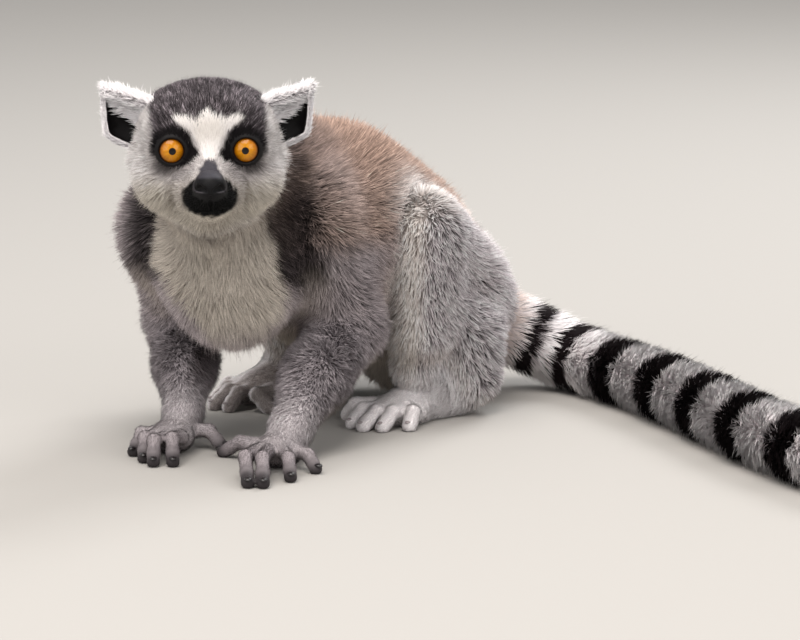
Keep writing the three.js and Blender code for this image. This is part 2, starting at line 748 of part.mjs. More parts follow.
const COAT = { roughness: 0.9, metalness: 0 };
const FINISHES = {
  head: { ...COAT, color: 0xcfc9c6 },
  ear: { ...COAT, color: 0xe6e2e3 },
  nose: { color: 0x2b2a30, roughness: 0.45, metalness: 0 },
  eye: { color: 0xd98a1a, roughness: 0.1, metalness: 0 },
  neck: { ...COAT, color: 0xc9c2b4 },
  chest: { ...COAT, color: 0xc9c2b4 },
  belly: { ...COAT, color: 0xa08c7f },
  rump: { ...COAT, color: 0xa08c7f },
  arm: { ...COAT, color: 0x98908f },
  leg: { ...COAT, color: 0x98908f },
  hand: { ...COAT, color: 0xb9b3b4 },
  foot: { ...COAT, color: 0xb9b3b4 },
  tail: { ...COAT, color: 0xd8d0d2 },
};
const FINISH_OF = { upper_arm: "arm", forearm: "arm", thigh: "leg", shin: "leg" };

/** A part's mesh, in a material of its own. */
function named(name, solid) {
  const kind = name.replace(/_(left|right|\d)$/, "");
  const material = new THREE.MeshStandardMaterial(FINISHES[FINISH_OF[kind] ?? kind]);
  const mesh = new THREE.Mesh(geometryOf(restingPiece(solid)), material);
  mesh.name = name;
  return mesh;
}

// ---------------------------------------------------------------- the animal

const animal = new THREE.Group();
const flesh = Object.fromEntries(Object.keys(SHARES).map((name) => [name, fleshOf(name)]));

const skull = solidOf(grown(geometryOf(flesh.head), GAP));

const snout = surfaceOf(partDistance(parts.nose), boxOf(parts.nose), NOSE_FACET);
flesh.head = flesh.head.subtract(solidOf(grown(snout, GAP)));
animal.add(named("nose", solidOf(snout)));

const leftEar = earGeometry();
for (const [name, side] of [["left", 1], ["right", -1]]) {
  const centre = head((side * EYE_SPACING) / 2, 0, 0);
  const ball = (radius) => solidOf(new THREE.SphereGeometry(radius, 12, 8).translate(...centre));
  flesh.head = flesh.head.subtract(ball(EYE_RADIUS + GAP));
  animal.add(named(`eye_${name}`, ball(EYE_RADIUS)));
  const ear = (side > 0 ? leftEar : mirrored(leftEar)).clone().rotateZ(HEAD_TURN).translate(...EYES);
  const clear = geometryOf(solidOf(ear).subtract(skull));
  animal.add(named(`ear_${name}`, solidOf(tidied(clear, EAR.finest, []))));
}

const tailGap = GAP / tailPath.getLength();
const rootNeighbours = [flesh.rump, flesh.thigh_left].map((solid) =>
  solidOf(grown(geometryOf(solid), 4 * GAP)),
);
for (let i = 0; i < TAIL_LENGTHS; i++) {
  const from = i / TAIL_LENGTHS + tailGap / 2;
  const to = (i + 1) / TAIL_LENGTHS - tailGap / 2;
  const whole = solidOf(tailGeometry(from, to));
  const clear = rootNeighbours.reduce((solid, other) => solid.subtract(other), whole);
  animal.add(named(`tail_${i + 1}`, clear));
}

for (const [name, solid] of Object.entries(flesh)) animal.add(named(name, solid));

// The part's origin is the middle of its footprint, on the floor.
const extent = new THREE.Box3().setFromObject(animal);
const middle = extent.getCenter(new THREE.Vector3());
animal.position.set(-middle.x, -middle.y, -extent.min.z);

export default animal;
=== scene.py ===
"""A ring-tailed lemur, life size, crouched on its haunches with both hands on the floor.

One skin is drawn round a field of rounded masses. They are the masses that fill the part's solids,
each drawn in by the depth of its coat. Tufts of hair root on that skin and lean with the lie of the
coat, out to the outline of the solids. Skin and coat take their colours from one set of markings,
which holds some painted shade as well.

Places are in millimetres from the floor under the point midway between the eyes: +X is the
animal's left, -Y is ahead of its face and +Z is up. Meshes are made in metres in the part's frame.
"""

import logging
import math
from collections.abc import Callable, Iterable, Sequence
from dataclasses import dataclass, field, fields
from enum import Enum

import bmesh
import bpy
import numpy as np
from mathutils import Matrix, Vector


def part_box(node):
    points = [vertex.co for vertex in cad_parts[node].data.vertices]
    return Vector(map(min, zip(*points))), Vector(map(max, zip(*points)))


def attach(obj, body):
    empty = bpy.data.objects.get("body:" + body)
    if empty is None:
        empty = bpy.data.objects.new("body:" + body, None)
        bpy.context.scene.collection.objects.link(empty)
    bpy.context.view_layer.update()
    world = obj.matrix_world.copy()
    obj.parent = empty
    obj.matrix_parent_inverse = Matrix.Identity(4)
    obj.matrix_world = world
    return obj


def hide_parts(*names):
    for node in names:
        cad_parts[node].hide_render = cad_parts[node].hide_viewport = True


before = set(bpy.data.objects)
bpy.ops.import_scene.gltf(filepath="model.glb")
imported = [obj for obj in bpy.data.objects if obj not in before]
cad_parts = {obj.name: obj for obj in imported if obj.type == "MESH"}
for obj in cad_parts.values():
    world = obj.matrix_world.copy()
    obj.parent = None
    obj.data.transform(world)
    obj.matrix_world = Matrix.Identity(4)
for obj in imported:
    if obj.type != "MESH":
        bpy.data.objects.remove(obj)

import openvdb
from mathutils import Vector
from mathutils.kdtree import KDTree

Array = np.ndarray

log = logging.getLogger("lemur")
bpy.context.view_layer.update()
METRE = 1000.0  # millimetres in a metre
COLOUR_LAYER = "Colour"  # the colours stored on a mesh
SEED = 7
FAR = 30.0  # the value of the field well clear of the body
FLOOR_SINK = 1.2  # how far a resting mass dips under the floor
FLOOR_CLEAR = 0.15  # how far above the floor the skin stays
HAIR_CLEAR = 0.4  # how far above the floor the tips of the hair stay
# primes that scatter neighbouring places over the values of the noise
SCATTER = (73856093, 19349663, 83492791)
SCATTER_SEED, SCATTER_AGAIN = 9781, 2654435761


# ---- small helpers


def vec(*values: float) -> Array:
    """A point or direction as an array."""
    return np.array(values, float)


def mix(a: Array | float, b: Array | float, share: Array | float) -> Array:
    """The value a share of the way from a to b."""
    return a + (b - a) * share


def unit(directions: Array) -> Array:
    """Directions scaled to length one, along the last axis."""
    return directions / np.maximum(np.linalg.norm(directions, axis=-1, keepdims=True), 1e-9)


def step(values: Array, low: float, high: float) -> Array:
    """A smooth rise from 0 at low to 1 at high."""
    t = np.clip((values - low) / (high - low), 0, 1)
    return t * t * (3 - 2 * t)


def linear(colour: int) -> Array:
    """The linear red, green and blue of an sRGB hex colour."""
    srgb = np.array([(colour >> shift) & 255 for shift in (16, 8, 0)]) / 255
    return np.where(srgb <= 0.04045, srgb / 12.92, ((srgb + 0.055) / 1.055) ** 2.4)


def mottle(points: Array, size: float, seed: int = 0) -> Array:
    """Soft noise between 0 and 1 that changes over a size in millimetres.

    Args:
        points: Places, one to a row.
        size: Distance between the noise's own random values.
        seed: Which noise to give.

    Returns:
        One value for each point.
    """
    grid = points / size + 57.3 * seed
    cell = np.floor(grid).astype(np.int64)
    inner = grid - cell
    inner = inner * inner * (3 - 2 * inner)
    total = np.zeros(len(points))
    for corner in np.ndindex(2, 2, 2):
        place = (cell + corner) & 0xFFFF
        mixed = np.bitwise_xor.reduce(place * SCATTER, axis=1) ^ seed * SCATTER_SEED
        mixed = (mixed * SCATTER_AGAIN) & 0xFFFFFFFF
        value = ((mixed >> 8) & 0xFFFF) / 65535
        weight = np.prod(np.where(corner, inner, 1 - inner), axis=1)
        total += value * weight
    return total


# ---- the head's own place


def middle_of(node: str) -> Array:
    """The middle of a solid's box, in millimetres."""
    low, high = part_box(node)
    return (np.array(low) + np.array(high)) / 2 * METRE


@dataclass(frozen=True)
class HeadPlace:
    """Where the head is and which way it faces, from the two eyeballs."""

    left_eye: Array = field(default_factory=lambda: middle_of("eye_left"))
    right_eye: Array = field(default_factory=lambda: middle_of("eye_right"))

    @property
    def origin(self) -> Array:
        """The point on the floor under the middle of the eyes, in the part's frame."""
        return (self.left_eye + self.right_eye) / 2 * vec(1, 1, 0)

    @property
    def eyes(self) -> Array:
        """The middle of the eyes."""
        return (self.left_eye + self.right_eye) / 2 - self.origin

    @property
    def turn(self) -> Array:
        """The turn of the head, whose rows are its left, back and up."""
        across = unit((self.left_eye - self.right_eye) * vec(1, 1, 0))
        return np.array([across, [-across[1], across[0], 0], [0, 0, 1]])

    @property
    def spacing(self) -> float:
        """The distance between the eyes."""
        return float(np.linalg.norm(self.left_eye - self.right_eye))

    def out(self, x: float, y: float, z: float) -> Array:
        """A place on the head, given from between the eyes."""
        return self.eyes + vec(x, y, z) @ self.turn

    def local(self, points: Array) -> Array:
        """Points as the head sees them, from between the eyes."""
        return (points - self.eyes) @ self.turn.T


HEAD = HeadPlace()
HEAD_YAW = math.degrees(math.atan2(HEAD.turn[0][1], HEAD.turn[0][0]))


# ---- masses of flesh


class Part(Enum):
    """Parts of the body, each with a coat of its own kind."""

    CROWN = "crown"
    BROW = "brow"
    CHEEK = "cheek"
    MUZZLE = "muzzle"
    NOSE = "nose"
    LID = "lid"
    THROAT = "throat"
    EAR = "ear"
    NECK = "neck"
    BREAST = "breast"
    TRUNK = "trunk"
    RUMP = "rump"
    ARM = "arm"
    FOREARM = "forearm"
    HAND = "hand"
    FINGER = "finger"
    TOE = "toe"
    TIP = "tip"
    THIGH = "thigh"
    SHIN = "shin"
    FOOT = "foot"
    TAIL = "tail"


PARTS = list(Part)


@dataclass(frozen=True)
class Mass:
    """A limb-like mass: a ball at start that tapers to a ball at end."""

    part: Part  # the part of the body it belongs to
    start: Array  # its first centre
    end: Array  # its last centre
    radii: tuple[float, float]  # its radius at each end, out to the tips of the coat
    coat: tuple[float, float]  # the depth of the coat at each end
    blend: float = 12.0  # how softly it runs into the masses before it
    lie: Array | None = None  # the way the coat lies, along the mass if none is given

    def measure(self, points: Array) -> tuple[Array, Array]:
        """Measures how points lie to the mass.

        Args:
            points: Places, one to a row.

        Returns:
            Their distance from its skin, and how far along it they are, from 0 to 1.
        """
        along = self.end - self.start
        share = np.clip((points - self.start) @ along / max(along @ along, 1e-9), 0, 1)
        skin = mix(self.radii[0] - self.coat[0], self.radii[1] - self.coat[1], share)
        off = points - self.start - share[:, None] * along
        return np.sqrt((off * off).sum(1)) - skin, share

    def unrolled(self, points: Array) -> tuple[Array, Array]:
        """Unrolls the mass along its length.

        Args:
            points: Places, one to a row.

        Returns:
            How far round it and how far along it they are, from 0 to 1.
        """
        along = unit(self.end - self.start)
        side = unit(np.cross(along, vec(0.31, 0.17, 0.94)))
        off = points - self.start
        turn = np.arctan2(off @ np.cross(along, side), off @ side) / (2 * math.pi) % 1
        reach = float(np.linalg.norm(self.end - self.start))
        low, high = -self.radii[0], reach + self.radii[1]
        return turn, np.clip((off @ along - low) / (high - low), 0, 1)

    def box(self, room: float) -> tuple[Array, Array]:
        """The lowest and highest corner of the mass, with some room round it."""
        ends, reach = np.array([self.start, self.end]), np.array(self.radii)[:, None]
        return (ends - reach).min(0) - room, (ends + reach).max(0) + room

    def way(self) -> Array:
        """The lie of the coat as one direction."""
        return unit(self.end - self.start if self.lie is None else self.lie)


@dataclass(frozen=True)
class Egg(Mass):
    """An egg-like mass with its own radius along each axis, turned about Z."""

    size: tuple[float, float, float] = (1.0, 1.0, 1.0)  # its three radii, out to the tips of the coat
    yaw: float = 0.0  # its turn in degrees

    def measure(self, points: Array) -> tuple[Array, Array]:
        """Measures how points lie to the mass.

        Args:
            points: Places, one to a row.

        Returns:
            Their distance from its skin, and 0 for each, as it has no length.
        """
        c, s = math.cos(math.radians(self.yaw)), math.sin(math.radians(self.yaw))
        off = points - self.start
        turned = np.stack([c * off[:, 0] + s * off[:, 1], c * off[:, 1] - s * off[:, 0], off[:, 2]], 1)
        skin = np.array(self.size) - self.coat[0]
        near = np.sqrt(((turned / skin) ** 2).sum(1))
        slope = np.sqrt(((turned / skin**2) ** 2).sum(1))
        distance = near * (near - 1) / np.maximum(slope, 1e-6)
        return np.where(slope < 1e-6, -skin.min(), distance), np.zeros(len(points))

    def unrolled(self, points: Array) -> tuple[Array, Array]:
        """Unrolls the mass about Z.

        Args:
            points: Places, one to a row.

        Returns:
            How far round it and how far up it they are, from 0 to 1.
        """
        off = (points - self.start) / np.array(self.size)
        turn = np.arctan2(off[:, 1], off[:, 0]) / (2 * math.pi) % 1
        return turn, np.clip(off[:, 2] / 2 + 0.5, 0, 1)

    def box(self, room: float) -> tuple[Array, Array]:
        """The lowest and highest corner of the mass, with some room round it."""
        reach = np.array([max(self.size[:2]), max(self.size[:2]), self.size[2]]) + room
        return self.start - reach, self.start + reach


def egg(
    part: Part,
    centre: Array,
    size: Sequence[float],
    coat: float,
    lie: Array | None = None,
    yaw: float = 0.0,
    blend: float = 12.0,
) -> Egg:
    """An egg-like mass of a part, with a coat as deep all over."""
    way = vec(0, 0, -1) if lie is None else lie
    return Egg(part, centre, centre, (0, 0), (coat, coat), blend, way, tuple(size), yaw)


def on_floor(x: float, y: float, radius: float) -> Array:
    """The centre of a mass that rests on the floor."""
    return vec(x, y, radius - FLOOR_SINK)


def melt(a: Array, b: Array, softness: float) -> Array:
    """The smooth union of two distances."""
    h = np.maximum(softness - np.abs(a - b), 0) / softness
    return np.minimum(a, b) - h * h * softness / 4


@dataclass
class Digit:
    """A finger or toe, from its knuckle over a raised middle joint to a tip on the floor."""

    root: Array
    middle: Array
    tip: tuple[float, float]
    thick: float
    blend: float = 3.0
    fur: float = 0.8
    part: Part = Part.FINGER

    @property
    def end(self) -> Array:
        """The centre of the tip."""
        return on_floor(*self.tip, self.thick * 0.95)

    @property
    def joint(self) -> Array:
        """The centre of the last joint."""
        return mix(self.middle, self.end, 0.62)

    def masses(self) -> list[Mass]:
        """Lays out the digit.

        Returns:
            Its three lengths, the last of them bare.
        """
        joint = self.joint
        wide, thin, last = self.thick * 1.12, self.thick, self.thick * 0.92
        tip = Part.TIP if self.part is Part.FINGER else Part.TOE
        return [
            Mass(self.part, self.root, self.middle, (wide, thin), (self.fur, self.fur), self.blend),
            Mass(self.part, self.middle, joint, (thin, last), (self.fur, 0.5), 2.0),
            Mass(tip, joint, self.end, (last, self.thick * 0.95), (0.4, 0.3), 2.0),
        ]


@dataclass
class HindLeg:
    """A folded hind leg, laid out from the pelvis: forward, out to its side and up."""

    side: int  # left is +1
    heel: tuple[float, float]
    toe: tuple[float, float]
    pelvis: Array = field(default_factory=lambda: vec(127, 228, 0))
    yaw: float = math.radians(42)
    hip: tuple[float, float, float] = (6, 28, 62)
    knee: tuple[float, float, float] = (88, 70, 122)
    ankle: tuple[float, float, float] = (76, 50, 28)
    shin: tuple[float, float, float] = (80, 60, 60)

    def place(self, forward: float, out: float, up: float = 0.0) -> Array:
        """Finds a place on the leg.

        Args:
            forward: How far ahead of the pelvis it is.
            out: How far out to the leg's side.
            up: How high.

        Returns:
            The place.
        """
        ahead = vec(-math.sin(self.yaw), -math.cos(self.yaw), 0)
        left = vec(math.cos(self.yaw), -math.sin(self.yaw), 0)
        return self.pelvis + ahead * forward + left * (self.side * out) + vec(0, 0, up)

    def sole(self) -> tuple[Array, Array, Array, float]:
        """Measures the sole.

        Returns:
            The heel, the way to the toes, the way outward, and the foot's length.
        """
        heel = self.place(*self.heel)
        along = self.place(*self.toe) - heel
        length = float(np.linalg.norm(along))
        along = along / length
        return heel, along, self.side * vec(-along[1], along[0], 0), length

    def toes(self) -> list[Digit]:
        """Lays out the toes.

        Returns:
            The great toe and the four others.
        """
        heel, along, outward, length = self.sole()
        ball = length * 0.6
        spread = [  # knuckle out, middle joint out, tip forward, tip out
            (-15, -22, 70, -30),
            (-8.5, -10.5, 85, -11),
            (-1, -0.5, 87, 0),
            (6, 8, 80, 9),
            (12, 16, 67, 18),
        ]
        digits = []
        for i, (knuckle, middle, forward, out) in enumerate(spread):
            root = heel + along * (ball + (6 - i if i else -10)) + outward * knuckle
            joint = heel + along * ((ball + forward) / 2 + 6 - 2 * i) + outward * middle
            tip = heel + along * (forward - 4) + outward * out
            thick = 4.5 if i else 4.9
            places = (root + vec(0, 0, 9.5), joint + vec(0, 0, 10.5), tuple(tip[:2]))
            digits.append(Digit(*places, thick, 4.0, 0.8, Part.TOE))
        return digits

    def masses(self) -> list[Mass]:
        """Lays out the thigh, the haunch, the shin and the foot.

        Returns:
            Their masses.
        """
        hip, knee, ankle = (self.place(*p) for p in (self.hip, self.knee, self.ankle))
        heel, along, outward, length = self.sole()
        ball = length * 0.6
        yaw = -math.degrees(math.atan2(along[0], -along[1]))

        def at(forward: float, out: float, up: float) -> Array:
            """A place over the sole, measured from the heel."""
            return heel + along * forward + outward * out + vec(0, 0, up)

        down = vec(0.15, 0.15, -1)
        haunch = self.place(38, 50, 45)
        return [
            Mass(Part.THIGH, hip, knee, (34, 23), (8, 4.5), 12, down),
            Mass(Part.THIGH, mix(hip, knee, 0.24), haunch, (32, 28), (8, 7), 10, down),
            Mass(Part.THIGH, haunch, self.place(34, 56, 24), (28, 22), (6.5, 5), 10, down),
            Mass(Part.THIGH, mix(knee, ankle, 0.3), haunch, (19, 25), (4.5, 6), 12, down),
            Mass(Part.SHIN, mix(knee, ankle, 0.1), mix(knee, ankle, 0.96), (22, 15.5), (4.5, 3.8), 12),
            Mass(Part.SHIN, mix(knee, ankle, 0.2), self.place(*self.shin), (22, 21), (4.5, 4.5), 10),
            Mass(Part.FOOT, at(9, 0, 9.5), at(ball, -1, 8.5), (11.5, 10), (1.4, 1), 8, along),
            egg(Part.FOOT, at(ball - 3, -1, 8.5), (15.5, 17, 9.5), 1, along, yaw, 8),
            Mass(Part.FOOT, at(26, 0, 21), at(ball - 8, -1, 11), (13.5, 9.5), (2.5, 1.2), 8, along),
            *(mass for toe in self.toes() for mass in toe.masses()),
        ]


@dataclass
class Tail:
    """The tail, laid in a long S on the floor."""

    radius: float = 20.0
    coat: float = 7.5
    lengths: int = 90
    places: Sequence[tuple[float, float, float]] = (
        (140, 238, 43), (165, 243, 40), (189, 245, 30), (211, 238, 21), (228, 217, 18.8),
        (255, 164, 18.8), (280, 99, 18.8), (303, 30, 18.8), (324, -22, 18.8), (354, -74, 18.8),
        (404, -104, 18.8), (460, -100, 18.8), (508, -70, 18.8), (545, -30, 16.9),
    )

    def line(self) -> Array:
        """Draws the middle of the tail, as a centripetal Catmull-Rom curve.

        Returns:
            Points evenly spaced along it.
        """
        knots = np.array(self.places, float)
        knots = np.vstack([2 * knots[0] - knots[1], knots, 2 * knots[-1] - knots[-2]])
        points = []
        for p in (knots[i : i + 4] for i in range(len(knots) - 3)):
            t = np.concatenate([[0], np.cumsum(np.linalg.norm(np.diff(p, axis=0), axis=1) ** 0.5)])
            for u in np.linspace(t[1], t[2], 24, endpoint=False):
                a = [mix(p[k], p[k + 1], (u - t[k]) / (t[k + 1] - t[k])) for k in range(3)]
                b = [mix(a[k], a[k + 1], (u - t[k]) / (t[k + 2] - t[k])) for k in range(2)]
                points.append(mix(b[0], b[1], (u - t[1]) / (t[2] - t[1])))
        points = np.array([*points, knots[-2]])
        run = np.concatenate([[0], np.cumsum(np.linalg.norm(np.diff(points, axis=0), axis=1))])
        even = np.linspace(0, run[-1], self.lengths + 1)
        return np.stack([np.interp(even, run, points[:, k]) for k in range(3)], 1)

    def radius_at(self, share: float) -> float:
        """Gives the tail's thickness.

        Args:
            share: How far along the tail, from 0 to 1.

        Returns:
            The radius out to the tips of the hair.
        """
        root = 1 + 0.16 * max(0.0, 1 - share / 0.18)
        tip = math.sqrt(max(0.05, 1 - max(0.0, (share - 0.86) / 0.14) ** 2.4))
        return self.radius * root * tip

    def masses(self) -> list[Mass]:
        """Lays out the tail.

        Returns:
            Its short lengths, from the root on.
        """
        line = self.line()
        radii = [self.radius_at(i / self.lengths) for i in range(self.lengths + 1)]
        coats = [min(self.coat, 0.62 * r) for r in radii]
        return [
            Mass(Part.TAIL, line[i], line[i + 1], tuple(radii[i : i + 2]), tuple(coats[i : i + 2]), 5.0)
            for i in range(self.lengths)
        ]


TAIL = Tail()
HIND_LEGS = [HindLeg(1, (34, 52), (122, 47)), HindLeg(-1, (46, 54), (136, 64))]
FINGERS = {
    "left": [
        Digit(vec(27, 17, 11), vec(15, 31, 10), (5, 38), 4.2),
        Digit(vec(26, 3, 11), vec(20, -22, 13), (22, -44), 4.3),
        Digit(vec(32, -2, 11.5), vec(29.5, -26, 13), (30.5, -45), 4.3),
        Digit(vec(40, 1, 11), vec(43.5, -17, 11), (45, -29), 4.2),
        Digit(vec(46, 8, 10), vec(54, -1, 9.5), (58.5, -7), 4.1),
    ],
    "right": [
        Digit(vec(-15, 60, 11), vec(-4, 59, 11), (4, 53), 4.2),
        Digit(vec(-19, 39, 11), vec(-23, 24, 13.5), (-22, 11), 4.3),
        Digit(vec(-27, 38, 11), vec(-33, 21, 13), (-33, 11), 4.3),
        Digit(vec(-32, 46, 11), vec(-39, 34, 12), (-39, 22), 4.2),
        Digit(vec(-33, 56, 10), vec(-42, 52, 11), (-46, 40), 4.1),
    ],
}
BACKWARD = vec(0.5, 0.8, -0.35)
EYE_RADIUS = 9.0
LID_RADIUS = 10.3
OPENING = (7.55, 5.5, 7.2)  # the hollow that opens the lids: half its width, depth and height


def head_masses() -> list[Mass]:
    """Lays out the head, without its ears.

    Returns:
        Its masses, from the crown forward.
    """
    at, yaw, out = HEAD.out, HEAD_YAW, HEAD.turn[0]
    eye, down = HEAD.spacing / 2, vec(0, 0, 0.9)
    return [
        egg(Part.CROWN, at(0, 41, 5), (41.5, 43, 29.5), 5.5, yaw=yaw),
        egg(Part.CROWN, at(0, 22, 8), (37, 27, 25), 4.5, yaw=yaw),
        egg(Part.BROW, at(0, 6, 8), (35, 17, 19.5), 3, yaw=yaw),
        *(
            Mass(Part.CHEEK, at(31 * s, 27, 1), at(36 * s, 26, -8), (8, 9), (4, 5), 8, out * s - down)
            for s in (-1, 1)
        ),
        *(
            Mass(Part.CHEEK, at(20 * s, 12, -15), at(16 * s, 30, -14), (22.5, 22), (7, 10))
            for s in (-1, 1)
        ),
        Mass(Part.MUZZLE, at(0, 0, -11), at(0, -23.5, -17), (17, 8.8), (2.2, 0.3), 9),
        *(
            Mass(Part.MUZZLE, at(6.5 * s, -6, -24), at(5 * s, -20, -25.5), (11.5, 9.2), (1, 0.4), 6)
            for s in (-1, 1)
        ),
        Mass(Part.MUZZLE, at(0, 6, -32), at(0, -17, -30.5), (12, 7.5), (2, 0.6), 7),
        egg(Part.THROAT, at(0, 20, -26), (27, 24, 16), 8, yaw=yaw),
        *(egg(Part.LID, at(eye * s, 0, 0), (LID_RADIUS,) * 3, 0, blend=4.5) for s in (-1, 1)),
        Mass(Part.MUZZLE, at(0, -25, -18), at(0, -26, -25), (7.6, 7.2), (0.4, 0.4), 5),
        egg(Part.NOSE, at(0, -32, -16), (7.4, 7, 7.2), 0.2, yaw=yaw, blend=6),
    ]


def head_dents() -> list[Mass]:
    """Lays out what is let into the head: the open eyes and the nostrils.

    Returns:
        The masses to carve out.
    """
    at, eye = HEAD.out, HEAD.spacing / 2
    dents: list[Mass] = []
    for s in (-1, 1):
        dents += [
            egg(Part.LID, at(eye * s, -8.5, 0), OPENING, 0, yaw=HEAD_YAW, blend=0.8),
            Mass(Part.NOSE, at(2.9 * s, -38.2, -18), at(5.9 * s, -35.8, -16.6), (1.6, 2.1), (0, 0), 0.9),
            Mass(Part.NOSE, at(5.9 * s, -35.8, -16.6), at(8.0 * s, -31.5, -18.5), (1.6, 0.7), (0, 0), 0.9),
        ]
    return dents


def creases(flesh: "Flesh") -> list[Mass]:
    """Draws the mouth line and the groove under the nose.

    Args:
        flesh: The flesh whose skin they follow.

    Returns:
        The masses to carve out.
    """
    mouth = [(x, -30 + 0.09 * x * x, -29.4 - 0.02 * abs(x) + 0.004 * x * x) for x in range(-15, 16, 3)]
    groove = [(0, -38, -22), (0, -36, -25), (0, -32, -29)]
    dents = []
    for line, wide in ((mouth, 1.0), (groove, 0.8)):
        places = flesh.settled(np.array([HEAD.out(*place) for place in line]), 6, 6)
        dents += [
            Mass(Part.MUZZLE, a, b, (wide, wide), (0, 0), 1.0) for a, b in zip(places, places[1:])
        ]
    return dents


def body_masses() -> list[Mass]:
    """Lays out everything but the head.

    Returns:
        The masses of the trunk, the limbs and, last, the tail.
    """
    down, rump_lie = vec(0, -0.15, -1), vec(0.4, 0.5, -0.9)
    shoulder_lie = vec(0.1, 0.3, -1)
    masses = [
        Mass(Part.NECK, HEAD.out(4, 46, -18), vec(31, 90, 147), (37, 46), (9, 12), 16, BACKWARD),
        Mass(Part.BREAST, HEAD.out(0, 14, -29), vec(8, 50, 122), (20, 27), (8, 11), 16, down),
        egg(Part.BREAST, vec(12, 52, 128), (34, 24, 34), 12, down, 20, 16),
        Mass(Part.TRUNK, vec(8, 74, 112), vec(43, 110, 126), (47, 55), (12, 11), 16, BACKWARD),
        egg(Part.BREAST, vec(10, 62, 96), (36, 30, 36), 12, down, 22, 14),
        Mass(Part.TRUNK, vec(64, 134, 123), vec(96, 180, 97), (59, 54), (11, 10), 16, vec(0.5, 0.7, -0.6)),
        egg(Part.TRUNK, vec(58, 138, 82), (44, 48, 38), 9, vec(0.2, 0.3, -1), 35, 16),
        Mass(Part.RUMP, vec(98, 184, 86), on_floor(118, 222, 50), (51, 50), (10, 10), 16, rump_lie),
        egg(Part.RUMP, on_floor(134, 234, 39), (34, 28, 39), 10, vec(0.8, 0.4, -0.6), 48, 14),
        egg(Part.ARM, vec(54, 72, 130), (27, 29, 34), 9, shoulder_lie, 16, 14),
        Mass(Part.ARM, vec(56, 74, 122), vec(74, 98, 66), (26, 23.5), (8.5, 7), 14),
        Mass(Part.FOREARM, vec(74, 96, 64), vec(57, 58, 42), (23.5, 20), (6.5, 5.5), 10),
        Mass(Part.FOREARM, vec(57, 58, 42), vec(44, 26, 20), (20, 13), (5.5, 3), 10),
        egg(Part.HAND, vec(36, 11, 9), (14, 14, 9.5), 0.9, vec(0.1, -1, 0), 10, 8),
        Mass(Part.HAND, vec(44, 26, 18), vec(39, 13, 10), (12, 10), (2.2, 1.2), 6),
        egg(Part.ARM, vec(-30, 88, 124), (27, 27, 33), 9, shoulder_lie, 16, 14),
        Mass(Part.ARM, vec(-30, 90, 122), vec(-23, 126, 66), (25, 21.5), (8.5, 7), 14),
        Mass(Part.FOREARM, vec(-23, 126, 64), vec(-19, 96, 43), (21.5, 18.5), (6.5, 5.5), 10),
        Mass(Part.FOREARM, vec(-19, 96, 43), vec(-19, 70, 21), (18.5, 12), (5.5, 3), 10),
        egg(Part.HAND, vec(-25, 50, 9), (13.5, 15, 9.5), 0.9, vec(-0.1, -1, 0), -8, 8),
        Mass(Part.HAND, vec(-19, 68, 18), vec(-23, 56, 10), (11.5, 9.5), (2.2, 1.2), 6),
    ]
    for leg in HIND_LEGS:
        masses += leg.masses()
    for fingers in FINGERS.values():
        masses += [mass for finger in fingers for mass in finger.masses()]
    return masses + TAIL.masses()


@dataclass
class Growth:
    """What grows at some places on the skin, one entry to a place."""

    mass: Array  # the nearest mass, as its number in the flesh
    part: Array  # the part of the body, as its number in PARTS
    depth: Array  # the depth of the coat
    lie: Array  # the way the coat lies
    shares: Array  # how much each part has to do with the place, one column to a part

    def pick(self, chosen: Array) -> "Growth":
        """The growth at some of the places."""
        return Growth(*(values[chosen] for values in vars(self).values()))

    def share(self, *parts: Part) -> Array:
        """How much some parts have to do with each place, from 0 to 1."""
        return self.shares[:, [PARTS.index(part) for part in parts]].sum(1)


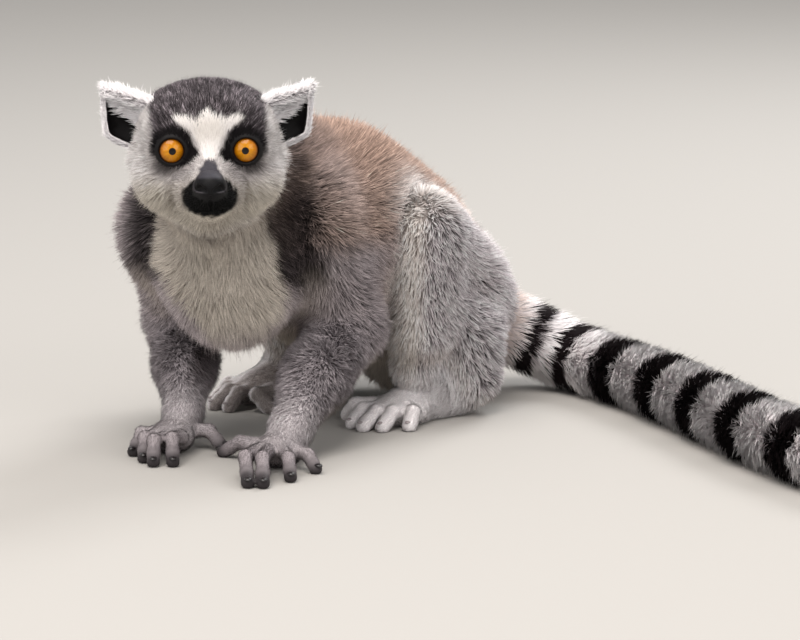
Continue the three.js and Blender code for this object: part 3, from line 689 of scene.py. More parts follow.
@dataclass
class Flesh:
    """The field whose zero is the skin."""

    masses: list[Mass]
    dents: list[Mass]
    room: float = 18.0

    def distance(self, points: Array) -> Array:
        """Measures how far points are from the skin.

        Args:
            points: Places, one to a row.

        Returns:
            Their distances, below zero inside it.
        """
        result = np.full(len(points), FAR)
        for mass, carve in self._order():
            low, high = mass.box(self.room)
            near = np.flatnonzero(((points > low) & (points < high)).all(1))
            if len(near):
                found, _ = mass.measure(points[near])
                result[near] = self._join(result[near], found, mass.blend, carve)
        return np.maximum(result, FLOOR_CLEAR - points[:, 2])

    def grid(self, cell: float) -> tuple[Array, Array]:
        """The field on a grid round the whole body.

        Args:
            cell: The distance between grid points.

        Returns:
            The field's values, and the grid's lowest corner.
        """
        boxes = [mass.box(2 * cell) for mass in self.masses]
        low = np.min([box[0] for box in boxes], axis=0)
        size = np.ceil((np.max([box[1] for box in boxes], axis=0) - low) / cell).astype(int) + 1
        values = np.full(size, FAR, np.float32)
        for mass, carve in self._order():
            near, far = mass.box(self.room)
            first = np.clip(np.floor((near - low) / cell), 0, size).astype(int)
            last = np.clip(np.ceil((far - low) / cell), 0, size).astype(int)
            axes = [low[k] + cell * np.arange(first[k], last[k]) for k in range(3)]
            points = np.stack(np.meshgrid(*axes, indexing="ij"), -1).reshape(-1, 3)
            block = values[tuple(slice(a, b) for a, b in zip(first, last))]
            found = mass.measure(points)[0].reshape(block.shape)
            block[...] = self._join(block, found, mass.blend, carve)
        heights = low[2] + cell * np.arange(size[2])
        return np.maximum(values, (FLOOR_CLEAR - heights).astype(np.float32)), low

    def slope(self, points: Array, h: float = 0.25) -> Array:
        """The field's slope at points."""
        ways = np.eye(3) * h
        return np.stack([self.distance(points + w) - self.distance(points - w) for w in ways], 1) / (2 * h)

    def settled(self, points: Array, reach: float, rounds: int = 3) -> Array:
        """Moves points onto the skin along its slope.

        Args:
            points: Places, one to a row.
            reach: The most that a point moves in a round.
            rounds: The number of rounds.

        Returns:
            The points where they end.
        """
        slope = self.slope(points)
        slope /= np.maximum((slope**2).sum(1, keepdims=True), 0.05)
        for _ in range(rounds):
            move = slope * self.distance(points)[:, None]
            length = np.linalg.norm(move, axis=1, keepdims=True)
            points = points - move * np.minimum(1, reach / np.maximum(length, 1e-9))
        return points

    def growth(self, points: Array, softness: float = 5.0) -> Growth:
        """Finds what grows at places, shared between the masses near them.

        Args:
            points: Places, one to a row.
            softness: The distance over which parts run into one another.

        Returns:
            What grows there.
        """
        best = np.full(len(points), FAR)
        nearest = np.zeros(len(points), int)
        total = np.full(len(points), 1e-9)
        depth = np.zeros(len(points))
        lie = np.zeros((len(points), 3))
        shares = np.zeros((len(points), len(PARTS)))
        for i, mass in enumerate(self.masses):
            low, high = mass.box(self.room)
            near = np.flatnonzero(((points > low) & (points < high)).all(1))
            if not len(near):
                continue
            found, share = mass.measure(points[near])
            weight = np.exp(-np.clip(found + 3, 0, None) / softness)
            total[near] += weight
            shares[near, PARTS.index(mass.part)] += weight
            depth[near] += weight * mix(mass.coat[0], mass.coat[1], share)
            lie[near] += weight[:, None] * mass.way()
            closer = found < best[near]
            best[near[closer]] = found[closer]
            nearest[near[closer]] = i
        part = np.array([PARTS.index(mass.part) for mass in self.masses])[nearest]
        return Growth(nearest, part, depth / total, unit(lie), shares / total[:, None])

    def _order(self) -> Iterable[tuple[Mass, bool]]:
        """Each mass, then each dent, with whether it carves."""
        return [*((m, False) for m in self.masses), *((d, True) for d in self.dents)]

    @staticmethod
    def _join(values: Array, found: Array, blend: float, carve: bool) -> Array:
        """Values with one mass melted in, or carved out."""
        return -melt(-values, found, blend) if carve else melt(values, found, blend)


def whole_flesh() -> Flesh:
    """All of the flesh, with its hollows and creases."""
    flesh = Flesh(head_masses() + body_masses(), [])
    return Flesh(flesh.masses, [*creases(flesh), *head_dents()])


FLESH = whole_flesh()


# ---- meshes


def to_frame(points: Array) -> Array:
    """Points in metres in the part's frame."""
    return (points + HEAD.origin) / METRE


def triangle_mesh(name: str, points: Array, triangles: Array) -> bpy.types.Mesh:
    """Makes a smooth mesh of triangles.

    Args:
        name: The mesh's name.
        points: Its points, in millimetres.
        triangles: The corners of each triangle.

    Returns:
        The mesh, in metres in the part's frame.
    """
    mesh = bpy.data.meshes.new(name)
    mesh.vertices.add(len(points))
    mesh.vertices.foreach_set("co", to_frame(points).astype(np.float32).ravel())
    mesh.loops.add(triangles.size)
    mesh.loops.foreach_set("vertex_index", triangles.astype(np.int32).ravel())
    mesh.polygons.add(len(triangles))
    mesh.polygons.foreach_set("loop_start", np.arange(0, triangles.size, 3, dtype=np.int32))
    mesh.update(calc_edges=True)
    mesh.shade_smooth()
    return mesh


def add_object(name: str, data: bpy.types.ID) -> bpy.types.Object:
    """Adds an object to the scene.

    Args:
        name: The object's name.
        data: Its mesh, light or camera.

    Returns:
        The object.
    """
    obj = bpy.data.objects.new(name, data)
    bpy.context.scene.collection.objects.link(obj)
    return obj


def rows_of(data: bpy.types.bpy_prop_collection, name: str) -> Array:
    """Reads what a mesh holds three to a row.

    Args:
        data: The mesh's own rows.
        name: What to read from each.

    Returns:
        The numbers, three to a row.
    """
    flat = np.empty(len(data) * 3, np.float32)
    data.foreach_get(name, flat)
    return flat.reshape(-1, 3).astype(float)


def points_of(mesh: bpy.types.Mesh) -> Array:
    """A mesh's points, in millimetres in the working frame."""
    return rows_of(mesh.vertices, "co") * METRE - HEAD.origin


def normals_of(mesh: bpy.types.Mesh) -> Array:
    """The normal at each point of a mesh."""
    return rows_of(mesh.vertex_normals, "vector")


def set_points(mesh: bpy.types.Mesh, points: Array) -> None:
    """Moves a mesh's points, given in millimetres in the working frame."""
    mesh.vertices.foreach_set("co", to_frame(points).astype(np.float32).ravel())
    mesh.update()


def set_colours(mesh: bpy.types.Mesh, colours: Array) -> None:
    """Stores a linear colour for each point of a mesh.

    Args:
        mesh: The mesh.
        colours: The red, green and blue of each point.
    """
    layer = mesh.attributes.new(COLOUR_LAYER, "FLOAT_COLOR", "POINT")
    full = np.ones((len(colours), 4), np.float32)
    full[:, :3] = colours
    layer.data.foreach_set("color", full.ravel())


def add_piece(
    name: str, mesh: bpy.types.Mesh, material: bpy.types.Material, slot: str
) -> bpy.types.Object:
    """Adds a piece of the animal, in one material.

    Args:
        name: The piece's name.
        mesh: Its mesh.
        material: What it is made of.
        slot: The slot of that material, which is not used.

    Returns:
        The piece.
    """
    mesh.materials.clear()
    mesh.materials.append(material)
    obj = add_object(name, mesh)
    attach(obj, "root")
    return obj


def ball_faces(around: int, rings: int) -> Array:
    """The triangles of a ball made of rings of points between two end points.

    Args:
        around: The number of points in a ring.
        rings: The number of rings.

    Returns:
        The corners of each triangle.
    """
    last = 1 + rings * around
    faces = []
    for k in range(around):
        j = (k + 1) % around
        faces.append((0, 1 + j, 1 + k))
        for low in range(1, last - around, around):
            high = low + around
            faces += [(low + k, low + j, high + j), (low + k, high + j, high + k)]
        faces.append((last - around + k, last - around + j, last))
    return np.array(faces)


def tree_of(places: Array) -> KDTree:
    """A tree that finds the nearest of some places.

    Args:
        places: Places, one to a row.

    Returns:
        The tree, which numbers them in order.
    """
    tree = KDTree(len(places))
    for i, place in enumerate(places):
        tree.insert(place, i)
    tree.balance()
    return tree


@dataclass
class Ground:
    """Skin for hair to root on: triangles, with a normal at each corner."""

    points: Array
    triangles: Array
    normals: Array

    @classmethod
    def of(cls, mesh: bpy.types.Mesh) -> "Ground":
        """Reads a mesh whose triangles are made already.

        Args:
            mesh: The mesh.

        Returns:
            The ground that it gives.
        """
        corners = np.empty(len(mesh.loop_triangles) * 3, np.int32)
        mesh.loop_triangles.foreach_get("vertices", corners)
        return cls(points_of(mesh), corners.reshape(-1, 3), normals_of(mesh))

    def areas(self) -> Array:
        """The area of each triangle."""
        a, b, c = (self.points[self.triangles[:, k]] for k in range(3))
        return np.linalg.norm(np.cross(b - a, c - a), axis=1) / 2

    def scattered(self, density: Array, rng: np.random.Generator) -> tuple[Array, Array]:
        """Places scattered evenly over the ground.

        Args:
            density: Places to a square millimetre, for each triangle.
            rng: The source of chance.

        Returns:
            The triangle of each place, and the shares of its corners.
        """
        run = np.cumsum(self.areas() * density)
        count = int(run[-1])
        wanted = (np.arange(count) + rng.random(count)) * run[-1] / count
        triangle = np.minimum(np.searchsorted(run, wanted), len(run) - 1)
        root, slide = np.sqrt(rng.random(count)), rng.random(count)
        return triangle, np.stack([1 - root, root * (1 - slide), root * slide], 1)

    def at(self, values: Array, triangle: Array, shares: Array) -> Array:
        """Values given at the corners, at places on the ground."""
        corners = values[self.triangles[triangle]]
        return np.einsum("ij,ij...->i...", shares, corners)


# ---- ears


@dataclass
class EarLeaf:
    """An ear: a leaf rolled into a cup that opens forward, laid out for the left side of the head."""

    side: int  # left is +1
    root: Array = field(default_factory=lambda: vec(35, 30, 4))
    tip: Array = field(default_factory=lambda: vec(59.5, 27, 34.5))
    sunk: Array = field(default_factory=lambda: vec(-8, 2, -1))
    buried: float = 14.0
    half_width: float = 15.6
    depth: float = 12.2
    wall: float = 1.5
    turn: float = 0.22
    rings: int = 46
    arc: int = 30
    lip: int = 3

    def __post_init__(self) -> None:
        """Works out the ear's own directions and length."""
        self.up = unit(self.tip - self.root)
        self.length = float(np.linalg.norm(self.tip - self.root)) - 4.5
        across = vec(self.up[2], self.turn, -self.up[0])
        self.across = unit(across - (across @ self.up) * self.up)
        self.back = np.cross(self.up, self.across)

    @staticmethod
    def risen(along: float) -> float:
        """How far the leaf has come out of the head, from 0 to 1."""
        return float(step(np.array(along), -9, 13))

    def outline(self, along: float) -> tuple[Array, Array]:
        """One ring of the leaf.

        Args:
            along: Its distance up from the root.

        Returns:
            Its points across and back, and for each how far inside the cup it faces, from 0 to 1.
        """
        share = np.clip(along / self.length, 0, 1)
        taper = max(0.0, (along - 12) / (self.length - 12))
        cap = math.sqrt(max(0.03, 1 - max(0.0, (share - 0.9) / 0.1) ** 2))
        width = self.half_width * max(0.1, 1 - taper**1.3) * cap * float(mix(0.62, 1, self.risen(along)))
        depth = self.depth * (1 - 0.62 * share) * mix(1, cap, 0.6)
        wall = min(self.wall, width * 0.5, depth * 0.5)
        opened = float(step(np.array(along), -6, 14))
        turns = np.linspace(math.pi / 2, -math.pi / 2, self.arc + 1)
        outer = np.stack([width * np.sin(turns), depth * np.cos(turns)], 1)
        fold = 1.1 * np.exp(-(((turns - 0.5) / 0.16) ** 2))
        fold += 0.8 * np.exp(-(((turns + 0.35) / 0.13) ** 2))
        fold *= opened * (1 - share)
        hollow = opened * (depth - wall) * np.cos(turns) - fold
        inner = np.stack([(width - wall * 0.8) * np.sin(turns), hollow - 0.5], 1)[::-1]
        rounding = np.linspace(0, math.pi, self.lip + 2)[1:-1]
        bead = np.stack([-wall * 0.4 * np.cos(rounding), -wall * 0.45 * np.sin(rounding)], 1)
        left = vec(-(width - wall * 0.4), -0.25) + bead
        right = vec(width - wall * 0.4, -0.25) + bead[::-1]
        facing = np.repeat([0, 0.5, 1, 0.5], [self.arc + 1, self.lip, self.arc + 1, self.lip])
        return np.concatenate([outer, left, inner, right]), facing

    def surface(self) -> tuple[Array, list[tuple[int, ...]], Array]:
        """The closed leaf.

        Returns:
            Its points, its faces, and for each point how far up it is, how far across and how far
            inside the cup it faces.
        """
        points, facts = [], []
        reach = self.length + self.buried
        for along in -self.buried + reach * np.linspace(0, 1, self.rings + 1):
            flat, facing = self.outline(along)
            middle = self.root + along * self.up + self.sunk * (1 - self.risen(along))
            place = middle + flat[:, :1] * self.across + flat[:, 1:] * self.back
            points.append(place * vec(self.side, 1, 1))
            width = max(float(np.abs(flat[:, 0]).max()), 1e-6)
            share = np.full(len(flat), along / self.length)
            facts.append(np.stack([share, flat[:, 0] / width, facing], 1))
        count = len(points[0])
        faces: list[tuple[int, ...]] = []
        for start in range(0, self.rings * count, count):
            for k in range(count):
                a, b = start + k, start + (k + 1) % count
                faces.append((a, b, b + count, a + count))
        faces.append(tuple(range(count - 1, -1, -1)))
        faces.append(tuple(range(self.rings * count, (self.rings + 1) * count)))
        if self.side < 0:
            faces = [face[::-1] for face in faces]
        local = np.concatenate(points)
        return HEAD.eyes + local @ HEAD.turn, faces, np.concatenate(facts)

    def mesh(self) -> bpy.types.Mesh:
        """Makes the leaf.

        Returns:
            A closed mesh.
        """
        points, faces, _ = self.surface()
        mesh = bpy.data.meshes.new("ear")
        mesh.from_pydata(to_frame(points), [], faces)
        mesh.update()
        bm = bmesh.new()
        bm.from_mesh(mesh)
        bmesh.ops.recalc_face_normals(bm, faces=bm.faces)
        bm.to_mesh(mesh)
        bm.free()
        return mesh

    def ways(self) -> tuple[Array, Array, Array]:
        """Up the ear, across it outward, and back, in the working frame."""
        mirror = vec(self.side, 1, 1)
        return tuple((way * mirror) @ HEAD.turn for way in (self.up, self.across, self.back))


EARS = [EarLeaf(1), EarLeaf(-1)]


# ---- the skin


@dataclass
class SkinMesher:
    """Draws the skin round the flesh, finer where there is more to show."""

    flesh: Flesh
    cell: float = 1.5
    merging: float = 0.05  # how readily nearly flat faces are merged

    def face(self, points: Array) -> Array:
        """Which points are on the front of the head."""
        local = HEAD.local(points)
        return (local[:, 1] < 10) & (np.abs(local[:, 0]) < 40) & (np.abs(local[:, 2] + 6) < 34)

    def rims(self, points: Array) -> Array:
        """Finds the rims of the lids and nostrils, and the mouth.

        Args:
            points: Places, one to a row.

        Returns:
            Which of the points are on them.
        """
        local = HEAD.local(points)
        lid = (np.abs(self.from_eye(local) - 1) < 0.36) & (local[:, 1] < -2)
        side = np.abs(local - vec(0, -35, -21))
        nostril = (side[:, 0] < 10) & (side[:, 1] < 5.5) & (side[:, 2] < 5.5)
        mouth = (np.abs(local[:, 2] + 29) < 2.6) & (local[:, 1] < -8)
        return lid | nostril | mouth

    @staticmethod
    def from_eye(local: Array) -> Array:
        """How far from the nearer eye's middle points are, 1 on the rim of its lids."""
        off = np.abs(local[:, 0]) - HEAD.spacing / 2
        return np.hypot(off / (OPENING[0] - 0.4), local[:, 2] / (OPENING[2] - 0.4))

    def mesh(self) -> bpy.types.Mesh:
        """Makes the skin without its ears.

        Returns:
            A closed mesh.
        """
        values, low = self.flesh.grid(self.cell)
        grid = openvdb.FloatGrid(FAR)
        grid.copyFromArray(values)
        points, triangles, quads = grid.convertToPolygons(isovalue=0.0, adaptivity=self.merging)
        mesh = bpy.data.meshes.new("skin")
        mesh.from_pydata(to_frame(points * self.cell + low), [], [*triangles, *quads])
        mesh.update()
        set_points(mesh, self.flesh.settled(points_of(mesh), self.cell))
        for zone, reach in ((self.face, self.cell / 2), (self.rims, self.cell / 4)):
            self.refine(mesh, zone, reach)
        return mesh

    def refine(self, mesh: bpy.types.Mesh, zone: Callable[[Array], Array], reach: float) -> None:
        """Halves the faces in a zone and settles them on the skin.

        Args:
            mesh: The skin.
            zone: Tells which points are in the zone.
            reach: The length of their edges after it.
        """
        inside = zone(points_of(mesh))
        bm = bmesh.new()
        bm.from_mesh(mesh)
        edges = [e for e in bm.edges if inside[e.verts[0].index] and inside[e.verts[1].index]]
        bmesh.ops.subdivide_edges(bm, edges=edges, cuts=1, use_grid_fill=True)
        bm.to_mesh(mesh)
        bm.free()
        points = points_of(mesh)
        near = zone(points)
        points[near] = self.flesh.settled(points[near], reach * 1.5)
        set_points(mesh, points)


def joined(base: bpy.types.Mesh, others: Sequence[bpy.types.Mesh]) -> bpy.types.Mesh:
    """Joins closed meshes into one.

    Args:
        base: The mesh that the others run into.
        others: The others.

    Returns:
        Their union.
    """
    body = add_object("skin_base", base)
    extras = [add_object(f"skin_extra_{i}", other) for i, other in enumerate(others)]
    for extra in extras:
        union = body.modifiers.new("union", "BOOLEAN")
        union.operation, union.solver, union.object = "UNION", "MANIFOLD", extra
    result = bpy.data.meshes.new_from_object(body.evaluated_get(bpy.context.evaluated_depsgraph_get()))
    for obj in (body, *extras):
        bpy.data.objects.remove(obj)
    return result


# ---- markings


@dataclass(frozen=True)
class Tone:
    """A kind of hair."""

    tip: int  # its colour at the tip
    root: int  # its colour at the root, darker than the tip: partly the hair's own underfur, partly painted shade deep in the coat
    fleck: float = 0.1  # how much it varies from hair to hair


class Palette:
    """The kinds of hair of a ring-tailed lemur and the colours of its bare skin, with a few tones that are
    painted shade or painted highlights.
    """

    crown = Tone(0x474245, 0x1C191B, 1.5)
    forehead = Tone(0xF6F2F0, 0xD0C9C6, 0.05)
    cream = Tone(0xF2ECE0, 0xC9BFB2, 0.05)
    patch = Tone(0x141113, 0x0C0A0B, 0.2)
    streak = Tone(0xB9B3B3, 0x5C5656, 0.35)
    bridge = Tone(0x504E54, 0x3C3A40, 0.15)
    muzzle = Tone(0x040404, 0x020202, 0.2)
    cheek = Tone(0xDFDAD9, 0x7E7776, 0.4)
    jaw = Tone(0xD0C9BE, 0x80786D, 0.3)
    ear = Tone(0xFFFCFE, 0xC9C1C4, 0.14)
    bib = Tone(0xD6CDC2, 0x7D746A, 0.25)
    # painted shadow under the chin, laid over the top of the bib
    bib_top = Tone(0x958A7E, 0x4A4138, 0.3)
    # painted shade on the far hind leg and foot, under the body
    inner_leg = Tone(0x85776F, 0x463C38, 0.35)
    # painted shade on the inner side of the right arm
    arm_shade = Tone(0x5E5556, 0x332D2E, 0.4)
    nape = Tone(0x8E7B73, 0x362C28, 0.5)
    shoulder = Tone(0x2B2526, 0x0C090A, 1.0)
    back = Tone(0xAB9183, 0x463833, 0.55)
    flank = Tone(0xB49D91, 0x40342F, 0.6)
    belly = Tone(0xC9BFB4, 0x867B71, 0.15)
    rump = Tone(0xD9C4B9, 0x7E6A61, 0.25)
    arm = Tone(0xB8AEB0, 0x504A4C, 0.4)
    forearm = Tone(0xBEB5B9, 0x686265, 0.34)
    thigh = Tone(0xEDE4E8, 0x454042, 0.5)
    knee = Tone(0xFCF4EE, 0xB9AFA9, 0.25)
    hand = Tone(0xFFF8FA, 0xB9B0B4, 0.25)
    finger = Tone(0x968E91, 0x5A5456, 0.2)
    foot = Tone(0xFFFAFB, 0xDAD2D5, 0.2)
    ring_pale = Tone(0xFFF9FB, 0xF6ECEF, 0.07)
    ring_dark = Tone(0x211A1C, 0x110D0E, 0.25)
    nose = 0x0B0A0C
    # grey on top of the nose: partly the bridge's own grey skin, partly a painted sheen on the top of the
    # pad
    nose_top = 0x38373D
    # painted highlight on the glossy rims of the nostrils
    nose_rim = 0x403D41
    # painted shade in the openings of the nostrils
    nostril = 0x070607
    lid = 0x0E0C0D
    ear_hollow = 0x0B090A
    fingertip = 0x2E2A2C


@dataclass(frozen=True)
class Growing:
    """The kind of hair on one part, and how it grows."""

    tone: Tone  # its colours, before the markings
    density: float = 0.0  # tufts to a square millimetre
    width: float = 0.0  # the width of a tuft at its root
    stretch: float = 2.1  # its length, as a multiple of the depth of the coat
    stray: float = 0.2  # how far it strays from the lie of the coat, in radians
    clump: float = 0.35  # how far tips are drawn together, from 0 to 1
    shortest: float = 1.5  # the least length of a tuft


COATS = {
    Part.CROWN: Growing(Palette.crown, 4.6, 0.55, 1.12, 0.5, 0.3),
    Part.BROW: Growing(Palette.cheek, 3.6, 0.5, 2.5, 0.18, 0.15),
    Part.CHEEK: Growing(Palette.cheek, 3.0, 0.6, 1.8, 0.26, 0.5),
    Part.MUZZLE: Growing(Palette.muzzle, 2.6, 0.4, 2.6, 0.2, 0.0, 1.3),
    Part.NOSE: Growing(Palette.muzzle, 0.0, 0.3),
    Part.LID: Growing(Palette.patch, 2.5, 0.4, 2.5, 0.2, 0.0, 1.6),
    Part.THROAT: Growing(Palette.jaw, 2.6, 0.65, 2.0, 0.24, 0.5),
    Part.EAR: Growing(Palette.ear),
    Part.NECK: Growing(Palette.nape, 2.5, 0.75, 1.18, 0.65, 0.5),
    Part.BREAST: Growing(Palette.bib, 3.0, 0.7, 1.8, 0.28, 0.6),
    Part.TRUNK: Growing(Palette.back, 1.6, 0.85, 1.14, 0.75, 0.5),
    Part.RUMP: Growing(Palette.rump, 1.5, 0.9, 1.2, 0.55, 0.5),
    Part.ARM: Growing(Palette.arm, 1.9, 0.8, 1.18, 0.65, 0.5),
    Part.FOREARM: Growing(Palette.forearm, 2.2, 0.7, 1.55, 0.42, 0.45),
    Part.HAND: Growing(Palette.hand, 2.2, 0.48, 3.2, 0.22, 0.3, 2.8),
    Part.FINGER: Growing(Palette.finger, 1.3, 0.42, 3.0, 0.2, 0.0, 1.8),
    Part.TOE: Growing(Palette.foot, 2.4, 0.45, 3.2, 0.24, 0.3, 2.6),
    Part.TIP: Growing(Palette.finger, 0.0, 0.4),
    Part.THIGH: Growing(Palette.thigh, 1.6, 0.85, 1.35, 0.5, 0.62),
    Part.SHIN: Growing(Palette.thigh, 1.9, 0.75, 1.7, 0.38, 0.5),
    Part.FOOT: Growing(Palette.foot, 2.4, 0.5, 3.0, 0.24, 0.4, 2.8),
    Part.TAIL: Growing(Palette.ring_pale, 1.3, 1.0, 1.9, 0.15, 0.5),
}
HEAD_PARTS = (Part.CROWN, Part.BROW, Part.CHEEK, Part.MUZZLE, Part.NOSE, Part.LID, Part.THROAT, Part.EAR)


def by_part(name: str) -> Array:
    """One value of how the hair grows, for each part."""
    return np.array([getattr(COATS[part], name) for part in PARTS])


@dataclass
class Spots:
    """Places on the skin, or over it."""

    points: Array
    normals: Array  # the way out of the skin
    growth: Growth

    @property
    def head(self) -> Array:
        """How much each is on the head, from 0 to 1."""
        return step(self.growth.share(*HEAD_PARTS), 0.25, 0.75)


def blended(colours: Array, over: int, cover: Array) -> Array:
    """Colours with one sRGB colour laid over them, by how much it covers each."""
    return mix(colours, linear(over), cover[:, None])


@dataclass
class Paint:
    """The colours of some places: tip, root and fleck of the hair on each."""

    tip: Array
    root: Array
    fleck: Array

    @classmethod
    def of_parts(cls, growth: Growth) -> "Paint":
        """Paints the plain tones of the parts.

        Args:
            growth: What grows at the places.

        Returns:
            The colours, blended where parts meet.
        """
        tones = [COATS[part].tone for part in PARTS]
        tips = np.array([linear(tone.tip) for tone in tones])
        roots = np.array([linear(tone.root) for tone in tones])
        flecks = np.array([tone.fleck for tone in tones])
        return cls(growth.shares @ tips, growth.shares @ roots, growth.shares @ flecks)

    def lay(self, tone: Tone, cover: Array) -> None:
        """Lays a tone over these colours.

        Args:
            tone: The tone.
            cover: How much it covers each place, from 0 to 1.
        """
        self.tip = blended(self.tip, tone.tip, cover)
        self.root = blended(self.root, tone.root, cover)
        self.fleck = mix(self.fleck, tone.fleck, cover)


def within(values: Array, low: float, high: float, soft: float) -> Array:
    """Near 1 between two values and 0 outside them, with soft edges."""
    return step(values, low - soft, low + soft) * (1 - step(values, high - soft, high + soft))


def under(values: Array, edge: Array | float, soft: float) -> Array:
    """Near 1 below an edge and 0 above it."""
    return 1 - step(values - edge, -soft, soft)


@dataclass(frozen=True)
class FaceMap:
    """Where the markings of the face lie: across from its middle, and up as seen from a little above."""

    tilt: float = math.radians(10)
    blaze: tuple[tuple[float, float], ...] = (  # height, and half the width of the white between the eyes
        (-8, 2), (-4, 3.7), (-1, 4.7), (3, 5.9), (8, 9), (13, 15), (17, 20.5), (19.5, 19),
    )

    def flat(self, points: Array) -> tuple[Array, Array, Array]:
        """Measures places on the face.

        Args:
            points: Places, one to a row.

        Returns:
            How far they are from its middle, how high, and how far back.
        """
        local = HEAD.local(points)
        up = local[:, 2] * math.cos(self.tilt) + local[:, 1] * math.sin(self.tilt)
        return np.abs(local[:, 0]), up, local[:, 1]

    def blaze_top(self, out: Array) -> Array:
        """Draws the upper edge of the white forehead: a peak in the middle and a corner over each eye.

        Args:
            out: Distances from the face's middle.

        Returns:
            Its height at each.
        """
        peak = 5.0 * np.exp(-((out / 4.2) ** 2))
        corner = 2.4 * np.exp(-(((out - 16) / 4.5) ** 2))
        return 16.6 + peak + corner - 0.55 * np.maximum(out - 19, 0)

    def paint(self, paint: Paint, on: Spots) -> None:
        """Lays the markings of the face and crown.

        Args:
            paint: The colours to lay them over.
            on: The places they are at.
        """
        wobble = (mottle(on.points, 2.4, 3) - 0.5) * 2.2
        lay, (out, up, back) = paint.lay, self.flat(on.points)
        out, up, head = out + wobble * 0.6, up + wobble, on.head
        front = under(back, 30, 8)
        lay(Palette.cheek, head * front)
        lay(Palette.jaw, head * under(up, -18, 9) * under(back, 40, 10))
        brow = np.interp(out, (0, 12, 20, 27, 33), (12, 7, 3, -1, 3))
        cap = (1 - under(up, brow, 1.2)) * under(out, 32.5 + 0.35 * np.maximum(back - 18, 0), 2.2)
        behind = step(back, 40, 56) * step(up, -16, 2)
        lay(Palette.crown, head * np.maximum(cap, behind))
        lay(Palette.nape, head * step(back, 56, 84) * 0.6)
        blaze = under(out, np.interp(up, *zip(*self.blaze)), 1.3) * within(up, -9, 30, 1)
        blaze *= under(up, self.blaze_top(out), 1.4)
        lay(Palette.forehead, head * front * blaze)
        lay(Palette.cream, head * front * blaze * under(out, 8, 4) * within(up, 4, 17, 3) * 0.3)
        below = np.hypot((out - 21) / 12, (up + 11) / 6.5)
        lay(Palette.streak, head * front * under(below, 1, 0.4) * 0.75)
        beside = np.hypot((out - 16) / 8, (up + 20) / 11)
        lay(Palette.streak, head * front * under(beside, 1, 0.5) * 0.4)
        eye = np.hypot((out - 20.6) / 12.2, (up - 0.5) / 12.1)
        nasal = np.hypot((out - 12.2) / 6.3, (up + 2.2) / 5)
        tear = np.hypot((out - 24) / 6.5, (up + 8) / 6)
        patch = np.maximum(under(eye, 1, 0.09), under(nasal, 1, 0.16))
        lay(Palette.patch, head * front * np.maximum(patch, under(tear, 1, 0.35) * 0.75))
        bridge = under(out, np.interp(up, (-20, -16, -10, -6), (8.5, 7.5, 4.6, 2.6)), 1.0)
        lay(Palette.bridge, head * bridge * within(up, -17.2, -6, 1.0) * under(back, -6, 3))
        black = np.hypot(out / 15.8, (up + 26.5) / np.where(up > -26.5, 11.0, 11.5))
        muzzle = head * under(black, 1, 0.08) * under(back, 2, 4)
        lay(Palette.muzzle, muzzle * (1 - bridge * step(up, -18, -16)))


@dataclass(frozen=True)
class Rings:
    """The rings of the tail, measured along it from its root."""

    first: float = 44.0  # where the first dark ring starts
    narrow: float = 26.0  # the length of the first dark and pale ring together
    wide: float = 60.0  # and of those along the middle
    end: float = 42.0  # and of those near the tip
    swell: float = 85.0  # the length over which they widen
    dwindle: float = 400.0  # where they start to narrow again
    dark: float = 0.43  # the dark share of each
    black_tip: float = 46.0

    def starts(self, length: float) -> Array:
        """Spaces the rings.

        Args:
            length: The length of the tail.

        Returns:
            Where each dark ring starts.
        """
        places = [self.first]
        while places[-1] < length:
            along = places[-1]
            grown = mix(self.narrow, self.wide, min(1.0, (along - self.first + 12) / self.swell))
            late = float(step(np.array(along), self.dwindle, self.dwindle + 40))
            places.append(along + mix(grown, self.end, late))
        return np.array(places)

    def dark_at(self, along: Array, length: float) -> Array:
        """Tells how dark the tail is.

        Args:
            along: Distances along it.
            length: Its length.

        Returns:
            How dark it is at each, from 0 to 1.
        """
        starts = self.starts(length)
        phase = np.interp(along, starts, np.arange(len(starts)))
        turn = phase % 1
        soft = 0.025
        ring = within(turn, 0, self.dark, soft) + step(turn, 1 - soft, 1 + soft)
        started = step(along, self.first - 2, self.first)
        tip = length - self.black_tip
        return np.maximum(np.clip(ring, 0, 1) * started, step(along, tip, tip + 3))


@dataclass
class TailLine:
    """The line down the tail, to tell how far along it places are."""

    line: Array = field(default_factory=TAIL.line)

    @property
    def length(self) -> float:
        """The length of the tail."""
        return float(np.linalg.norm(np.diff(self.line, axis=0), axis=1).sum())

    def along(self, points: Array, index: Array) -> Array:
        """Measures along the tail.

        Args:
            points: Places, one to a row.
            index: The number of the mass of the tail nearest to each.

        Returns:
            How far from its root they are.
        """
        start, way = self.line[index], self.line[index + 1] - self.line[index]
        share = np.clip(((points - start) * way).sum(1) / (way * way).sum(1), 0, 1)
        return (index + share) * self.length / (len(self.line) - 1)


